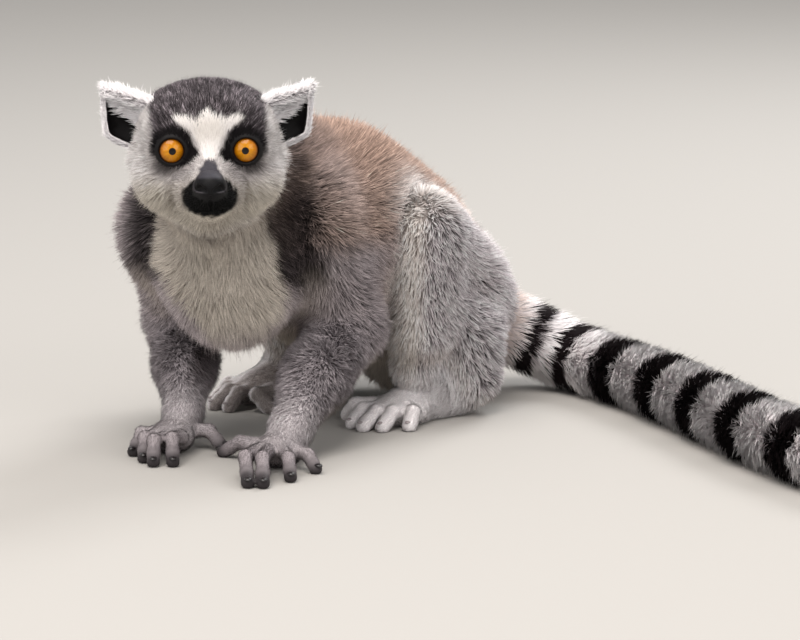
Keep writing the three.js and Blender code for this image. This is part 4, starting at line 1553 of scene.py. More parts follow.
@dataclass
class Markings:
    """The markings of the whole animal, with some painted shade, laid at some places over the plain tones of
    its parts.
    """

    on: Spots

    def __post_init__(self) -> None:
        """Paints the places."""
        self.paint = Paint.of_parts(self.on.growth)
        self.paint_trunk()
        self.paint_front()
        self.paint_limbs()
        FACE.paint(self.paint, self.on)
        self.paint_tail()

    def paint_trunk(self) -> None:
        """Lays the brown back, the greyer flanks and the pale underside."""
        on, lay = self.on, self.paint.lay
        share, up = on.growth.share, on.normals[:, 2]
        trunk = share(Part.TRUNK, Part.RUMP, Part.NECK)
        side = under(up, 0.35 + (mottle(on.points, 22, 5) - 0.5) * 0.5, 0.35)
        lay(Palette.flank, trunk * side * 0.9)
        lay(Palette.flank, share(Part.ARM) * step(on.points[:, 2], 88, 112) * 0.85)
        lay(Palette.belly, trunk * under(up, -0.5, 0.22))
        lay(Palette.rump, share(Part.RUMP) * step(on.points[:, 0], 120, 150) * 0.8)

    def paint_front(self) -> None:
        """Lays the cream bib between two dark shoulders, with painted shadow under the chin over its top."""
        on, lay = self.on, self.paint.lay
        x, y, z = on.points.T
        wobble = (mottle(on.points, 7, 8) - 0.5) * 9
        body = on.growth.share(Part.NECK, Part.BREAST, Part.TRUNK, Part.ARM) * (1 - on.head)
        ahead = under(y, 104, 8) * under(on.normals[:, 1], 0.25, 0.3)
        left = step(x, 20, 28) * under(x + 0.18 * (z - 130) + wobble, 59, 8) * within(z + wobble, 94, 186, 9)
        right = within(x, -51, -27, 6) * within(z + wobble, 98, 176, 10) * 0.9
        lay(Palette.arm, body * ahead * np.maximum(under(z, 116, 10), under(x, -30, 8)))
        lay(Palette.shoulder, body * ahead * np.maximum(left, right) * 0.95)
        width = np.interp(z, (66, 80, 91, 109, 125, 145, 165), (14, 25, 32, 35, 32, 27, 27))
        middle = np.interp(z, (80, 91, 109, 150), (13, 9, 1, -1))
        bib = under(np.abs(x - middle) + wobble * 0.5, width, 3.5)
        lay(Palette.bib, body * ahead * bib * step(z, 56, 80))
        # painted shadow under the chin: a darker tone over the top of the bib
        lay(Palette.bib_top, body * ahead * bib * step(z, 122, 150) * 0.6)

    def paint_limbs(self) -> None:
        """Lays painted shade on the right arm's inner side and on the far hind leg, the pale fronts and
        knees, dark mottling on the thighs that is partly painted shadow, and the dark fingers.
        """
        on, lay = self.on, self.paint.lay
        share, normals = on.growth.share, on.normals
        x, y, z = on.points.T
        arms, legs = share(Part.ARM, Part.FOREARM), share(Part.THIGH, Part.SHIN)
        lay(Palette.knee, legs * step(z, 118, 146) * 0.7)
        front = legs * step(normals @ vec(-0.9, -0.4, 0), 0.15, 0.65)
        beside = share(Part.TRUNK) * step(x, 91, 99) * step(y, 98, 108) * within(z, 40, 122, 10)
        # painted shade on the right arm's inner side, turned to the body, above the hand
        inner = arms * under(x, 0, 5) * step(normals[:, 0], -0.1, 0.5) * step(z, 20, 45)
        lay(Palette.arm_shade, inner * 0.8)
        # painted shade on the far hind leg and foot, on the side turned forward under the body
        folded = share(Part.THIGH, Part.SHIN, Part.FOOT, Part.TOE) * under(x, 85, 10) * step(y, 130, 160)
        lay(Palette.inner_leg, folded * step(normals @ vec(0.6, -0.8, 0), -0.2, 0.4) * 0.75)
        lay(Palette.knee, np.maximum(front, beside) * 0.95)
        lay(Palette.belly, np.maximum(arms, legs) * under(normals[:, 2], -0.6, 0.25) * 0.7)
        # dark mottling low on the thighs: partly the coat's own mottling, partly painted shadow in the
        # partings of the hair
        shade = step(mottle(on.points * vec(1, 1, 0.5), 6, 11), 0.5, 0.8) * under(z, 115, 20)
        lay(Palette.shoulder, share(Part.THIGH) * shade * 0.35)
        lay(Palette.shoulder, arms * step(mottle(on.points * vec(1, 1, 0.6), 5, 12), 0.5, 0.85) * 0.2)
        lay(Palette.finger, share(Part.HAND) * step(share(Part.FINGER), 0.1, 0.5))

    def paint_tail(self) -> None:
        """Lays the rings of the tail."""
        on, lay = self.on, self.paint.lay
        index = on.growth.mass - FIRST_TAIL_MASS
        along = TAIL_LINE.along(on.points, np.clip(index, 0, TAIL.lengths - 1))
        along = along + (mottle(on.points, 4, 21) - 0.5) * 5
        cover = on.growth.share(Part.TAIL) * (index >= 0)
        lay(Palette.rump, cover * under(along, 36, 10))
        lay(Palette.ring_dark, cover * RINGS.dark_at(along, TAIL_LINE.length))


FIRST_TAIL_MASS = len(FLESH.masses) - TAIL.lengths
TAIL_LINE, RINGS, FACE = TailLine(), Rings(), FaceMap()


# ---- hair


GUARD_SHARE = 0.05  # the share of tufts that are long guard hairs
# a guard hair's length, height and width, as multiples of those of other hair
GUARD_LONGER, GUARD_HIGHER, GUARD_THINNER = 1.35, 1.3, 0.6
MARKED_AT = 0.65  # how far along a tuft, from 0 to 1, its place in the markings is taken
WHITEST = 0.95  # the most light that hair gives back
ROOT_SINK = 0.5  # how far a tuft goes into the skin
LEAST_RUN = 0.35  # the least that a tuft runs along the skin, as a share of its length
CLUMP_OF = 11  # tufts drawn together


@dataclass
class Seeds:
    """Places where tufts root, and what each tuft is like."""

    roots: Array  # where they root
    normals: Array  # the way out of the skin
    ways: Array  # the way they lie
    heights: Array  # how far their tips stand off the skin
    lengths: Array
    widths: Array  # how wide they are at the root
    stray: Array  # how far they stray, in radians
    clump: Array  # how far their tips are drawn together
    shading: Array  # the way each seems to face when lit
    uv: Array  # the place of each on the unrolled skin
    tone: Tone | None = None  # the tone of them all, if they don't take the markings of the body

    def paint(self, places: Array) -> Paint:
        """Finds the colours of the hair.

        Args:
            places: A place off the skin for each tuft.

        Returns:
            The colours, one to a tuft.
        """
        if self.tone is None:
            return Markings(Spots(places, self.normals, FLESH.growth(places))).paint
        tip, root = (np.tile(linear(colour), (len(places), 1)) for colour in (self.tone.tip, self.tone.root))
        return Paint(tip, root, np.full(len(places), self.tone.fleck))


@dataclass(frozen=True)
class TuftShape:
    """The shape of one tuft: rings of three points, then a tip."""

    rings: int  # how many rings of points it has
    bulge: float = 0.28  # how far it arches, as a share of its height
    patch: float = 0.003  # the width of its patch on the unrolled skin

    @property
    def corners(self) -> int:
        """The number of points in one tuft."""
        return 3 * self.rings + 1

    def triangles(self) -> Array:
        """Lists the faces of one tuft.

        Returns:
            The corners of each, all facing outward.
        """
        faces = [(0, 2, 1)]
        for ring in range(self.rings - 1):
            for k in range(3):
                a, b = 3 * ring + k, 3 * ring + (k + 1) % 3
                faces += [(a, b, b + 3), (a, b + 3, a + 3)]
        last = 3 * (self.rings - 1)
        faces += [(last + k, last + (k + 1) % 3, last + 3) for k in range(3)]
        return np.array(faces)


TRIANGLE = ((-0.5, 0), (0.5, 0), (0, 0.5))  # a tuft's section: across it and up, in widths
STRAIGHT = TuftShape(1)
BENT = TuftShape(2)


@dataclass
class Tufts:
    """The tufts of one piece, grown from their seeds."""

    seeds: Seeds
    shape: TuftShape
    rng: np.random.Generator

    def __post_init__(self) -> None:
        """Finds which tufts are guard hairs, and where they all end."""
        self.guard = self.rng.random(len(self.seeds.roots)) < GUARD_SHARE
        self.tips = self.ends()

    def ends(self) -> Array:
        """Finds where the tufts end, drawn together in clumps.

        Returns:
            Their tips.
        """
        seeds, rng, count = self.seeds, self.rng, len(self.seeds.roots)
        across = unit(np.cross(seeds.normals, seeds.ways))
        ahead = np.cross(across, seeds.normals)
        swirl = (mottle(seeds.roots, 16, 31) - 0.5) * 1.3
        turn = (swirl * 1.2 + rng.normal(0, 1, count)) * seeds.stray
        way = ahead * np.cos(turn)[:, None] + across * np.sin(turn)[:, None]
        length = seeds.lengths * rng.uniform(0.72, 1.12, count) * (0.86 + 0.28 * mottle(seeds.roots, 7, 33))
        height = seeds.heights * rng.uniform(0.9, 1.25, count)
        length = length * np.where(self.guard, GUARD_LONGER, 1)
        height = height * np.where(self.guard, GUARD_HIGHER, 1)
        run = np.sqrt(np.maximum(length**2 - height**2, (LEAST_RUN * length) ** 2))
        tips = seeds.roots + way * run[:, None] + seeds.normals * height[:, None]
        centres = rng.permutation(count)[: max(1, count // CLUMP_OF)]
        tree = tree_of(seeds.roots[centres])
        leader = centres[[tree.find(root)[1] for root in seeds.roots]]
        draw = seeds.clump * rng.uniform(0.4, 1, count) * ~self.guard
        tips = mix(tips, tips[leader], draw[:, None])
        tips[:, 2] = np.maximum(tips[:, 2], HAIR_CLEAR)
        return tips

    def places(self) -> tuple[Array, Array]:
        """Shapes the tufts.

        Returns:
            The points of every tuft, and their normals, which lean towards the skin's own.
        """
        seeds, tips = self.seeds, self.tips
        widths = seeds.widths * np.where(self.guard, GUARD_THINNER, 1)
        along = unit(tips - seeds.roots)
        side = unit(np.cross(seeds.normals, along))
        top = np.cross(along, side)
        points = np.empty((len(tips), self.shape.corners, 3))
        normals = np.empty_like(points)
        for ring in range(self.shape.rings):
            share = ring / self.shape.rings
            sink = ROOT_SINK if ring == 0 else 0.0
            arch = seeds.heights * self.shape.bulge * math.sin(math.pi * share)
            middle = mix(seeds.roots, tips, share) - along * sink + seeds.normals * arch[:, None]
            wide = (widths * (1 - 0.25 * share))[:, None]
            for k, (across, up) in enumerate(TRIANGLE):
                points[:, 3 * ring + k] = middle + side * across * wide + top * up * wide
                normals[:, 3 * ring + k] = unit(seeds.shading + side * across * 1.1 + top * up * 0.6)
        points[:, -1] = tips
        normals[:, -1] = unit(seeds.shading + top * 0.2)
        points[..., 2] = np.maximum(points[..., 2], FLOOR_CLEAR)
        return points, normals

    def shades(self) -> Array:
        """Colours the tufts.

        Returns:
            The colour of every point, flecked from hair to hair.
        """
        tips, paint = self.tips, self.seeds.paint(mix(self.seeds.roots, self.tips, MARKED_AT))
        chance = self.rng.uniform(-0.8, 0.8, len(tips)) + (mottle(tips, 1.0, 35) - 0.5) * 2.4
        chance += (mottle(tips, 5, 36) - 0.5) * 0.9
        tip = paint.tip * np.exp(chance * paint.fleck)[:, None]
        shades = np.empty((len(tips), self.shape.corners, 3))
        # each ring runs from the darker root towards the tip: partly the hair's own colour, partly painted
        # shade deep in the coat
        for ring in range(self.shape.rings):
            shades[:, 3 * ring : 3 * ring + 3] = mix(paint.root, tip, 0.55 * ring)[:, None]
        shades[:, -1] = tip
        return np.clip(shades, 0, WHITEST)

    def patches(self) -> Array:
        """Gives each tuft a small patch at its root's place on the unrolled skin.

        Returns:
            The place of every point on the unrolled skin.
        """
        rows = [(x, y + ring) for ring in range(self.shape.rings) for x, y in ((0, 0), (1, 0), (0.5, 0.3))]
        patch = np.array([*rows, (0.5, self.shape.rings)]) * vec(1, 1 / self.shape.rings) * self.shape.patch
        places = self.seeds.uv[:, None] + patch
        return places.reshape(-1, 2)


@dataclass
class CoatPiece:
    """One piece of the coat: all the tufts on some parts of the body."""

    name: str
    slot: str
    parts: tuple[Part, ...]
    shape: TuftShape = STRAIGHT
    most: int = 178_000  # triangles

    def build(self, seeds: Seeds, rng: np.random.Generator) -> bpy.types.Object:
        """Makes the piece.

        Args:
            seeds: Its tufts.
            rng: The source of chance.

        Returns:
            The piece.
        """
        tufts = Tufts(seeds, self.shape, rng)
        points, normals = tufts.places()
        starts = self.shape.corners * np.arange(len(points))
        triangles = (self.shape.triangles() + starts[:, None, None]).reshape(-1, 3)
        mesh = triangle_mesh(self.name, points.reshape(-1, 3), triangles)
        set_colours(mesh, tufts.shades().reshape(-1, 3))
        layer = mesh.uv_layers.new(name="OFBake")
        layer.data.foreach_set("uv", tufts.patches()[triangles.ravel()].astype(np.float32).ravel())
        mesh.normals_split_custom_set_from_vertices(normals.reshape(-1, 3).astype(np.float32))
        return add_piece(self.name, mesh, MATERIALS.coat, self.slot)


def unrolled(masses: Sequence[Mass], points: Array, nearest: Array) -> Array:
    """Unrolls the skin into a square, with a strip for each mass.

    Args:
        masses: The masses under the skin.
        points: Places, one to a row.
        nearest: The number of the mass nearest to each.

    Returns:
        The place of each on the square.
    """
    places = np.zeros((len(points), 2))
    used, counts = np.unique(nearest, return_counts=True)
    edges = np.concatenate([[0], np.cumsum(counts / counts.sum())])
    for index, low, high in zip(used, edges, edges[1:]):
        chosen = nearest == index
        turn, share = masses[index].unrolled(points[chosen])
        places[chosen] = np.stack([turn, mix(low, high, share)], 1)
    return places * 0.994 + 0.001  # leaves room for the patches at the edges


@dataclass
class Fur:
    """Sows tufts over the skin."""

    flesh: Flesh
    ground: Ground
    rng: np.random.Generator
    thin: float = 1.0  # share of the tufts that grow

    def __post_init__(self) -> None:
        """Finds the part of the body that each triangle of the ground is on."""
        self.parts = self.flesh.growth(self.ground.points[self.ground.triangles[:, 0]]).part

    def seeds(self, piece: CoatPiece) -> Seeds:
        """Sows one piece of the coat.

        Args:
            piece: The piece.

        Returns:
            Its tufts.
        """
        wanted = np.isin(self.parts, [PARTS.index(part) for part in piece.parts])
        density = np.where(wanted, (by_part("density") * self.thin)[self.parts], 0)
        total = (self.ground.areas() * density).sum() * len(piece.shape.triangles())
        density *= min(1.0, piece.most / max(total, 1))
        triangle, shares = self.ground.scattered(density, self.rng)
        roots = self.ground.at(self.ground.points, triangle, shares)
        growth = self.flesh.growth(roots)
        normals = unit(self.flesh.slope(roots))
        keep = self.kept(roots)
        roots, normals, growth = roots[keep], normals[keep], growth.pick(keep)
        names = ("stretch", "shortest", "width", "stray", "clump")
        stretch, shortest, width, stray, clump = (growth.shares @ by_part(name) for name in names)
        return Seeds(
            roots,
            normals,
            self.lie(roots, growth),
            growth.depth,
            np.maximum(growth.depth * stretch, shortest),
            width,
            stray,
            clump,
            normals,
            unrolled(self.flesh.masses, roots, growth.mass),
        )

    @staticmethod
    def kept(roots: Array) -> Array:
        """Keeps the lids' rims, the nose and the insides of the ears bare.

        Args:
            roots: Where tufts might root.

        Returns:
            Which of them stay.
        """
        local = HEAD.local(roots)
        in_eye = (SkinMesher.from_eye(local) < 1.28) & (local[:, 1] < 0)
        nose = (np.abs(local[:, 0]) < 9.5) & (local[:, 1] < -27) & (local[:, 2] > -22)
        in_ear = np.zeros(len(roots), bool)
        for ear in EARS:
            off = local * vec(ear.side, 1, 1) - ear.root
            cup = (np.abs(off @ ear.across) < 12) & (np.abs(off @ ear.back - 3) < 9) & (off @ ear.up > -3)
            in_ear |= cup & (local[:, 0] * ear.side > 20)
        return ~(in_eye | nose | in_ear)

    @staticmethod
    def lie(roots: Array, growth: Growth) -> Array:
        """Combs the hair, which sweeps back over the head from the nose and round the eyes.

        Args:
            roots: Where the tufts root.
            growth: What grows there.

        Returns:
            The way that each lies.
        """
        local = HEAD.local(roots)
        sweep = unit(local - vec(0, -34, -14)) + vec(0, 0.35, 0)
        for side in (-1, 1):
            off = local - vec(side * HEAD.spacing / 2, 0, 0)
            near = np.exp(-np.maximum(np.linalg.norm(off, axis=1) - 10, 0) / 5)
            sweep += 1.5 * near[:, None] * unit(off)
        cheek = step(np.abs(local[:, 0]), 18, 34) * under(local[:, 2], 0, 10)
        sweep += cheek[:, None] * vec(0, 0.2, -0.7)
        neck = unit(roots - HEAD.out(4, 34, 14)) + vec(0, 0, -0.35)
        head = step(growth.share(*HEAD_PARTS), 0.2, 0.8)[:, None]
        throat = growth.share(Part.NECK)[:, None]
        lie = mix(growth.lie, neck, throat * 0.7)
        return unit(mix(lie, sweep @ HEAD.turn, head))


@dataclass
class EarFur:
    """Sows tufts over the ears: short on the back, a fringe on the rim, none in the dark hollow."""

    rng: np.random.Generator
    thin: float = 1.0  # share of the tufts that grow

    def seeds(self) -> Seeds:
        """Sows both ears.

        Returns:
            Their tufts.
        """
        found = [self._on_ear(number) for number in range(len(EARS))]
        names = [column.name for column in fields(Seeds)[:-1]]
        stacked = [np.concatenate([getattr(seeds, name) for seeds in found]) for name in names]
        return Seeds(*stacked, Palette.ear)

    def _on_ear(self, number: int) -> Seeds:
        """Sows one ear.

        Args:
            number: Its number in EARS.

        Returns:
            Its tufts.
        """
        ear = EARS[number]
        mesh = ear.mesh()
        ground, facts = Ground.of(mesh), ear.surface()[2]
        bpy.data.meshes.remove(mesh)
        density = self.density(facts[ground.triangles].mean(1))
        triangle, shares = ground.scattered(density * self.thin, self.rng)
        roots = ground.at(ground.points, triangle, shares)
        normals = unit(ground.at(ground.normals, triangle, shares))
        facts = ground.at(facts, triangle, shares)
        keep = (FLESH.distance(roots) > -1.5) & (self.rng.random(len(roots)) < self.growing(facts))
        roots, normals, (share, across, facing) = roots[keep], normals[keep], facts[keep].T
        up, out, back = ear.ways()
        inner, rim = step(facing, 0.6, 0.9), within(facing, 0.2, 0.8, 0.15)
        outer_rim, top_rim = rim * step(across, -0.2, 0.3), rim * under(across, 0, 0.25)
        point = step(share, 0.72, 1.0)
        crossing = 0.5 * inner * step(across, -0.5, 0.0) * (1 - point)
        ways = up + out * (np.sign(across) * 0.3 * (1 - inner) + 0.15 * inner + 1.3 * crossing)[:, None]
        ways -= back * (0.3 * rim)[:, None] + up * (0.45 * crossing)[:, None]
        risen = inner * (1 - step(across, -0.1, 0.5))
        heights = 2.0 + 5.0 * risen * (1 - 0.5 * share) - 1.2 * outer_rim + 0.4 * top_rim
        lengths = 6.0 + 4.0 * risen * (1 - point) - 2.4 * outer_rim * (1 - point) + 1.4 * top_rim
        shading = unit(vec(-0.1, -0.5, 1) + normals * 0.35 + self.rng.normal(0, 0.3, (len(roots), 3)))
        # each ear has half of the map's height, with its outside on the left and its inside on the right
        u = (across + 1) / 4.04 + (facing > 0.5) * 0.5
        v = np.clip(share + 0.4, 0, 1.4) / 2.83 + number / 2
        return Seeds(
            roots,
            normals,
            unit(ways),
            heights,
            lengths,
            np.full(len(roots), 0.5),
            0.16 + 0.25 * top_rim + 0.15 * point,
            0.35 + 0.35 * crossing,
            shading,
            np.stack([u, v], 1),
        )

    @staticmethod
    def density(facts: Array) -> Array:
        """Tufts to a square millimetre, given how far up, across and inside the ear places are."""
        inner, rim = step(facts[:, 2], 0.6, 0.9), within(facts[:, 2], 0.2, 0.8, 0.15)
        return mix(3.4, 5.0, inner) + rim * 9

    @staticmethod
    def growing(facts: Array) -> Array:
        """The chance that a tuft grows.

        Args:
            facts: How far up, across and inside the ear places are.

        Returns:
            The chance at each place: none in the dark hollow, and less beside it.
        """
        share, across, facing = facts.T
        inner = step(facing, 0.6, 0.9)
        return (1.0 - 0.45 * inner * step(across, -0.5, -0.1)) * (1 - ear_hollow(share, across) * inner)


def ear_hollow(share: Array, across: Array) -> Array:
    """How dark the inside of the ear is: black low down and on the outer side."""
    return step(across - 0.3 * share, -0.3, -0.02) * under(share, 0.88, 0.1)


# ---- finishes


def add_node(tree: bpy.types.NodeTree, kind: str, **settings: object) -> bpy.types.Node:
    """Adds a node with its settings and links.

    Args:
        tree: The tree that it goes in.
        kind: Its kind.
        settings: Its properties, and its inputs by their names in small letters and underscores. An
            input that is given an output of another node is linked to it.

    Returns:
        The node.
    """
    node = tree.nodes.new(kind)
    sockets = {socket.name.lower().replace(" ", "_"): socket for socket in node.inputs}
    for name, value in settings.items():
        if isinstance(value, bpy.types.NodeSocket):
            tree.links.new(value, sockets[name])
        elif name in sockets:
            sockets[name].default_value = value
        else:
            setattr(node, name, value)
    return node


@dataclass(frozen=True)
class Finish:
    """A finish, named for the real material, whose colour is stored on the mesh."""

    name: str
    roughness: float
    ior: float
    specular: float = 0.5  # how strong its gloss is, 0.5 being that of the index alone
    coat: float = 0.0  # the weight of a clear wet layer
    grain: float = 0.0  # the distance between its bumps, in millimetres, or 0 if it has none
    relief: float = 0.0  # the height of its bumps, in millimetres

    def material(self) -> bpy.types.Material:
        """Makes the material.

        Returns:
            The material.
        """
        material = bpy.data.materials.new(self.name)
        material.use_nodes = True
        tree = material.node_tree
        tree.nodes.clear()
        colour = add_node(tree, "ShaderNodeAttribute", attribute_name=COLOUR_LAYER)
        shader = add_node(
            tree,
            "ShaderNodeBsdfPrincipled",
            base_color=colour.outputs["Color"],
            roughness=self.roughness,
            ior=self.ior,
            specular_ior_level=self.specular,
            coat_weight=self.coat,
            coat_roughness=0.04,
            **({"normal": self.bumps(tree)} if self.grain else {}),
        )
        add_node(tree, "ShaderNodeOutputMaterial", surface=shader.outputs["BSDF"])
        return material

    def bumps(self, tree: bpy.types.NodeTree) -> bpy.types.NodeSocket:
        """Adds the nodes of its fine bumps.

        Args:
            tree: The material's own nodes.

        Returns:
            The output that gives the bumped normals.
        """
        place = add_node(tree, "ShaderNodeTexCoord").outputs["Object"]
        noise = add_node(tree, "ShaderNodeTexNoise", vector=place, scale=METRE / self.grain, detail=3.0)
        height, relief = noise.outputs["Fac"], self.relief / METRE
        bump = add_node(tree, "ShaderNodeBump", height=height, distance=relief, strength=1.0)
        return bump.outputs["Normal"]


class Materials:
    """The materials of the model, each made once."""

    def __init__(self) -> None:
        """Makes the materials."""
        # guard hair over wool: dull, coloured from root to tip, its gloss lost between the hairs
        self.coat = Finish("hair", 0.7, 1.55, specular=0.05).material()
        # bare or thinly haired skin: finely pebbled, coloured with the markings of the coat over it and
        # darker under deep fur as painted shade, its pebbles drawn as coarse as they need to be to show
        self.skin = Finish("skin", 0.55, 1.45, specular=0.18, grain=0.9, relief=0.12).material()
        # cornea over an iris: smooth, under a clear wet layer that catches the lamps
        self.eye = Finish("eye", 0.3, 1.376, specular=0.12, coat=0.5).material()
        # keratin: nails worn smooth, half glossy
        self.nail = Finish("keratin", 0.32, 1.55).material()


MATERIALS = Materials()


# ---- skin, eyes and nails in place


@dataclass
class Skin:
    """The dressed skin, which stands for all the solids of flesh."""

    mesh: bpy.types.Mesh

    def build(self) -> bpy.types.Object:
        """Colours the skin and puts it in place of the flesh.

        Returns:
            The skin.
        """
        self.mesh.name = "skin"
        self.mesh.shade_smooth()
        set_colours(self.mesh, self.colours(points_of(self.mesh), normals_of(self.mesh)))
        obj = add_piece("skin", self.mesh, MATERIALS.skin, "bare_skin")
        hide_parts(*(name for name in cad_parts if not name.startswith("eye")))
        return obj

    def colours(self, points: Array, normals: Array) -> Array:
        """Finds the skin's colours: the coat's where it is short, and its roots', darker as painted shade,
        where it is deep.

        Args:
            points: Places on the skin.
            normals: The way out of the skin at each.

        Returns:
            The colours.
        """
        growth = FLESH.growth(points)
        paint = Markings(Spots(points, normals, growth)).paint
        # under deep fur the skin takes the roots' colour, darkened as painted shade between the hairs
        colour = mix(paint.tip, paint.root * 0.8, step(growth.depth, 1.5, 5.0)[:, None])
        local = HEAD.local(points)
        colour = self.with_nose(colour, local, growth)
        rim = under(SkinMesher.from_eye(local), 1.3, 0.06) * under(local[:, 1], -2, 1)
        colour = blended(colour, Palette.lid, rim)
        digits = growth.share(Part.FINGER, Part.TOE, Part.HAND, Part.FOOT, Part.TIP)
        tips = FLESH.growth(points, 1.2).share(Part.TIP)
        bare = np.maximum(tips, step(digits, 0.3, 0.8) * under(normals[:, 2], -0.65, 0.15))
        colour = blended(colour, Palette.fingertip, bare)
        return self.with_ears(colour, points)

    @staticmethod
    def with_nose(colour: Array, local: Array, growth: Growth) -> Array:
        """Paints the bare nose: grey on top, partly with a painted sheen, with black nostrils in painted
        shade and a painted highlight on their rims.

        Args:
            colour: The colours so far.
            local: The places as the head sees them.
            growth: What grows there.

        Returns:
            The colours with the nose.
        """
        out = np.abs(local[:, 0])
        up = local[:, 2] * 0.985 + local[:, 1] * 0.174  # as seen from 10 degrees above
        leather = step(growth.share(Part.NOSE), 0.12, 0.35) * under(local[:, 1], -27, 2)
        colour = blended(colour, Palette.nose, leather)
        # grey on top of the nose: partly the bridge's own grey skin, partly a painted sheen on the top of
        # the pad
        top = under(local[:, 1], -20, 4) * under(out, np.interp(up, (-22, -18, -8), (7.2, 7.6, 4.2)), 1.2)
        top *= within(up, -17.2, -8, 1.0)
        colour = blended(colour, Palette.nose_top, top)
        # painted highlight: a paler ring on the glossy rims of the nostrils
        ring = within(np.hypot(out - 4.6, (up + 21) * 1.2), 4.3, 5.2, 0.3)
        ring = ring * under(up, -19, 1) * leather * step(out, 2.6, 5.6)
        colour = blended(colour, Palette.nose_rim, ring)
        # painted shade: black in the openings of the nostrils
        hole = np.hypot((out - 5.3) / 3.2, (up + 21.8) / 2.0)
        return blended(colour, Palette.nostril, under(hole, 1, 0.15) * leather)

    @staticmethod
    def with_ears(colour: Array, points: Array) -> Array:
        """Paints the ears.

        Args:
            colour: The colours so far.
            points: Places, one to a row.

        Returns:
            The colours with the ears.
        """
        off = FLESH.distance(points)
        for ear in EARS:
            surface, _, facts = ear.surface()
            tree = tree_of(surface)
            chosen = np.flatnonzero((off > 0.2) & (HEAD.local(points)[:, 0] * ear.side > 20))
            share, across, facing = facts[[tree.find(points[i])[1] for i in chosen]].T
            inner = step(facing, 0.55, 0.85)
            shade = linear(Palette.ear.root) * mix(0.75, 0.95, inner)[:, None]
            colour[chosen] = blended(shade, Palette.ear_hollow, inner * ear_hollow(share, across))
        return colour


@dataclass
class Eyeball:
    """An eyeball turned round the line it looks along, with a painted iris."""

    node: str
    side: int
    radius: float = EYE_RADIUS
    iris: float = 6.8
    pupil: float = 2.0
    outward: float = -4.0  # degrees
    around: int = 96

    def rings(self) -> Array:
        """The distances of the rings from the line of sight, finest round the pupil."""
        fine = [0.5, 1.1, self.pupil - 0.12, self.pupil + 0.12, 2.2, 2.8, 3.4, 4.0, 4.6, 5.2, 5.7, 6.1, 6.4]
        return np.array([*fine, self.iris, self.iris + 0.3, 7.6, 8.3, 8.8, self.radius])

    def points(self) -> Array:
        """Lays out the eyeball as it looks straight ahead, round its own middle.

        Returns:
            Its points: the front, rings of points, and the back.
        """
        outs = self.rings()
        depths = -np.sqrt(np.maximum(self.radius**2 - outs**2, 0))
        outs, depths = [*outs, *outs[-2::-1]], [*depths, *-depths[-2::-1]]
        turns = np.arange(self.around) * 2 * math.pi / self.around
        ring = np.stack([np.cos(turns), np.zeros(self.around), np.sin(turns)], 1)
        rings = [ring * out + vec(0, depth, 0) for out, depth in zip(outs, depths)]
        return np.concatenate([[vec(0, -self.radius, 0)], *rings, [vec(0, self.radius, 0)]])

    def build(self) -> bpy.types.Object:
        """Makes the eyeball in place of its solid.

        Returns:
            The eyeball.
        """
        flat = self.points()
        yaw = math.radians(self.outward * self.side)
        c, s = math.cos(yaw), math.sin(yaw)
        turned = flat @ np.array([[c, s, 0], [-s, c, 0], [0, 0, 1]])
        centre = middle_of(self.node) - HEAD.origin
        faces = ball_faces(self.around, (len(flat) - 2) // self.around)
        mesh = triangle_mesh(self.node + "_ball", centre + turned @ HEAD.turn, faces)
        set_colours(mesh, self.colours(flat))
        obj = add_piece(self.node + "_ball", mesh, MATERIALS.eye, "eye")
        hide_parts(self.node)
        return obj

    def colours(self, flat: Array) -> Array:
        """Paints the pupil, the streaked amber iris and its dark rim.

        Args:
            flat: The points of the eyeball as it looks straight ahead.

        Returns:
            Their colours.
        """
        out = np.hypot(flat[:, 0], flat[:, 2])
        turn = np.arctan2(flat[:, 2], flat[:, 0])
        streak = mottle(np.stack([np.cos(turn) * 9, np.sin(turn) * 9, out * 0.35], 1), 0.55, 41)
        amber = mix(linear(0xBC7B0A), linear(0xA05D05), step(out, 3.4, 6.4)[:, None])
        colour = blended(amber * (0.7 + 0.5 * streak)[:, None], 0x241004, step(out, 5.7, self.iris))
        black = np.maximum(under(out, self.pupil, 0.1), (flat[:, 1] > 0) * 1.0)
        colour = blended(colour, 0x050404, black)
        return blended(colour, 0x1A0F08, step(out, self.iris, self.iris + 0.4))


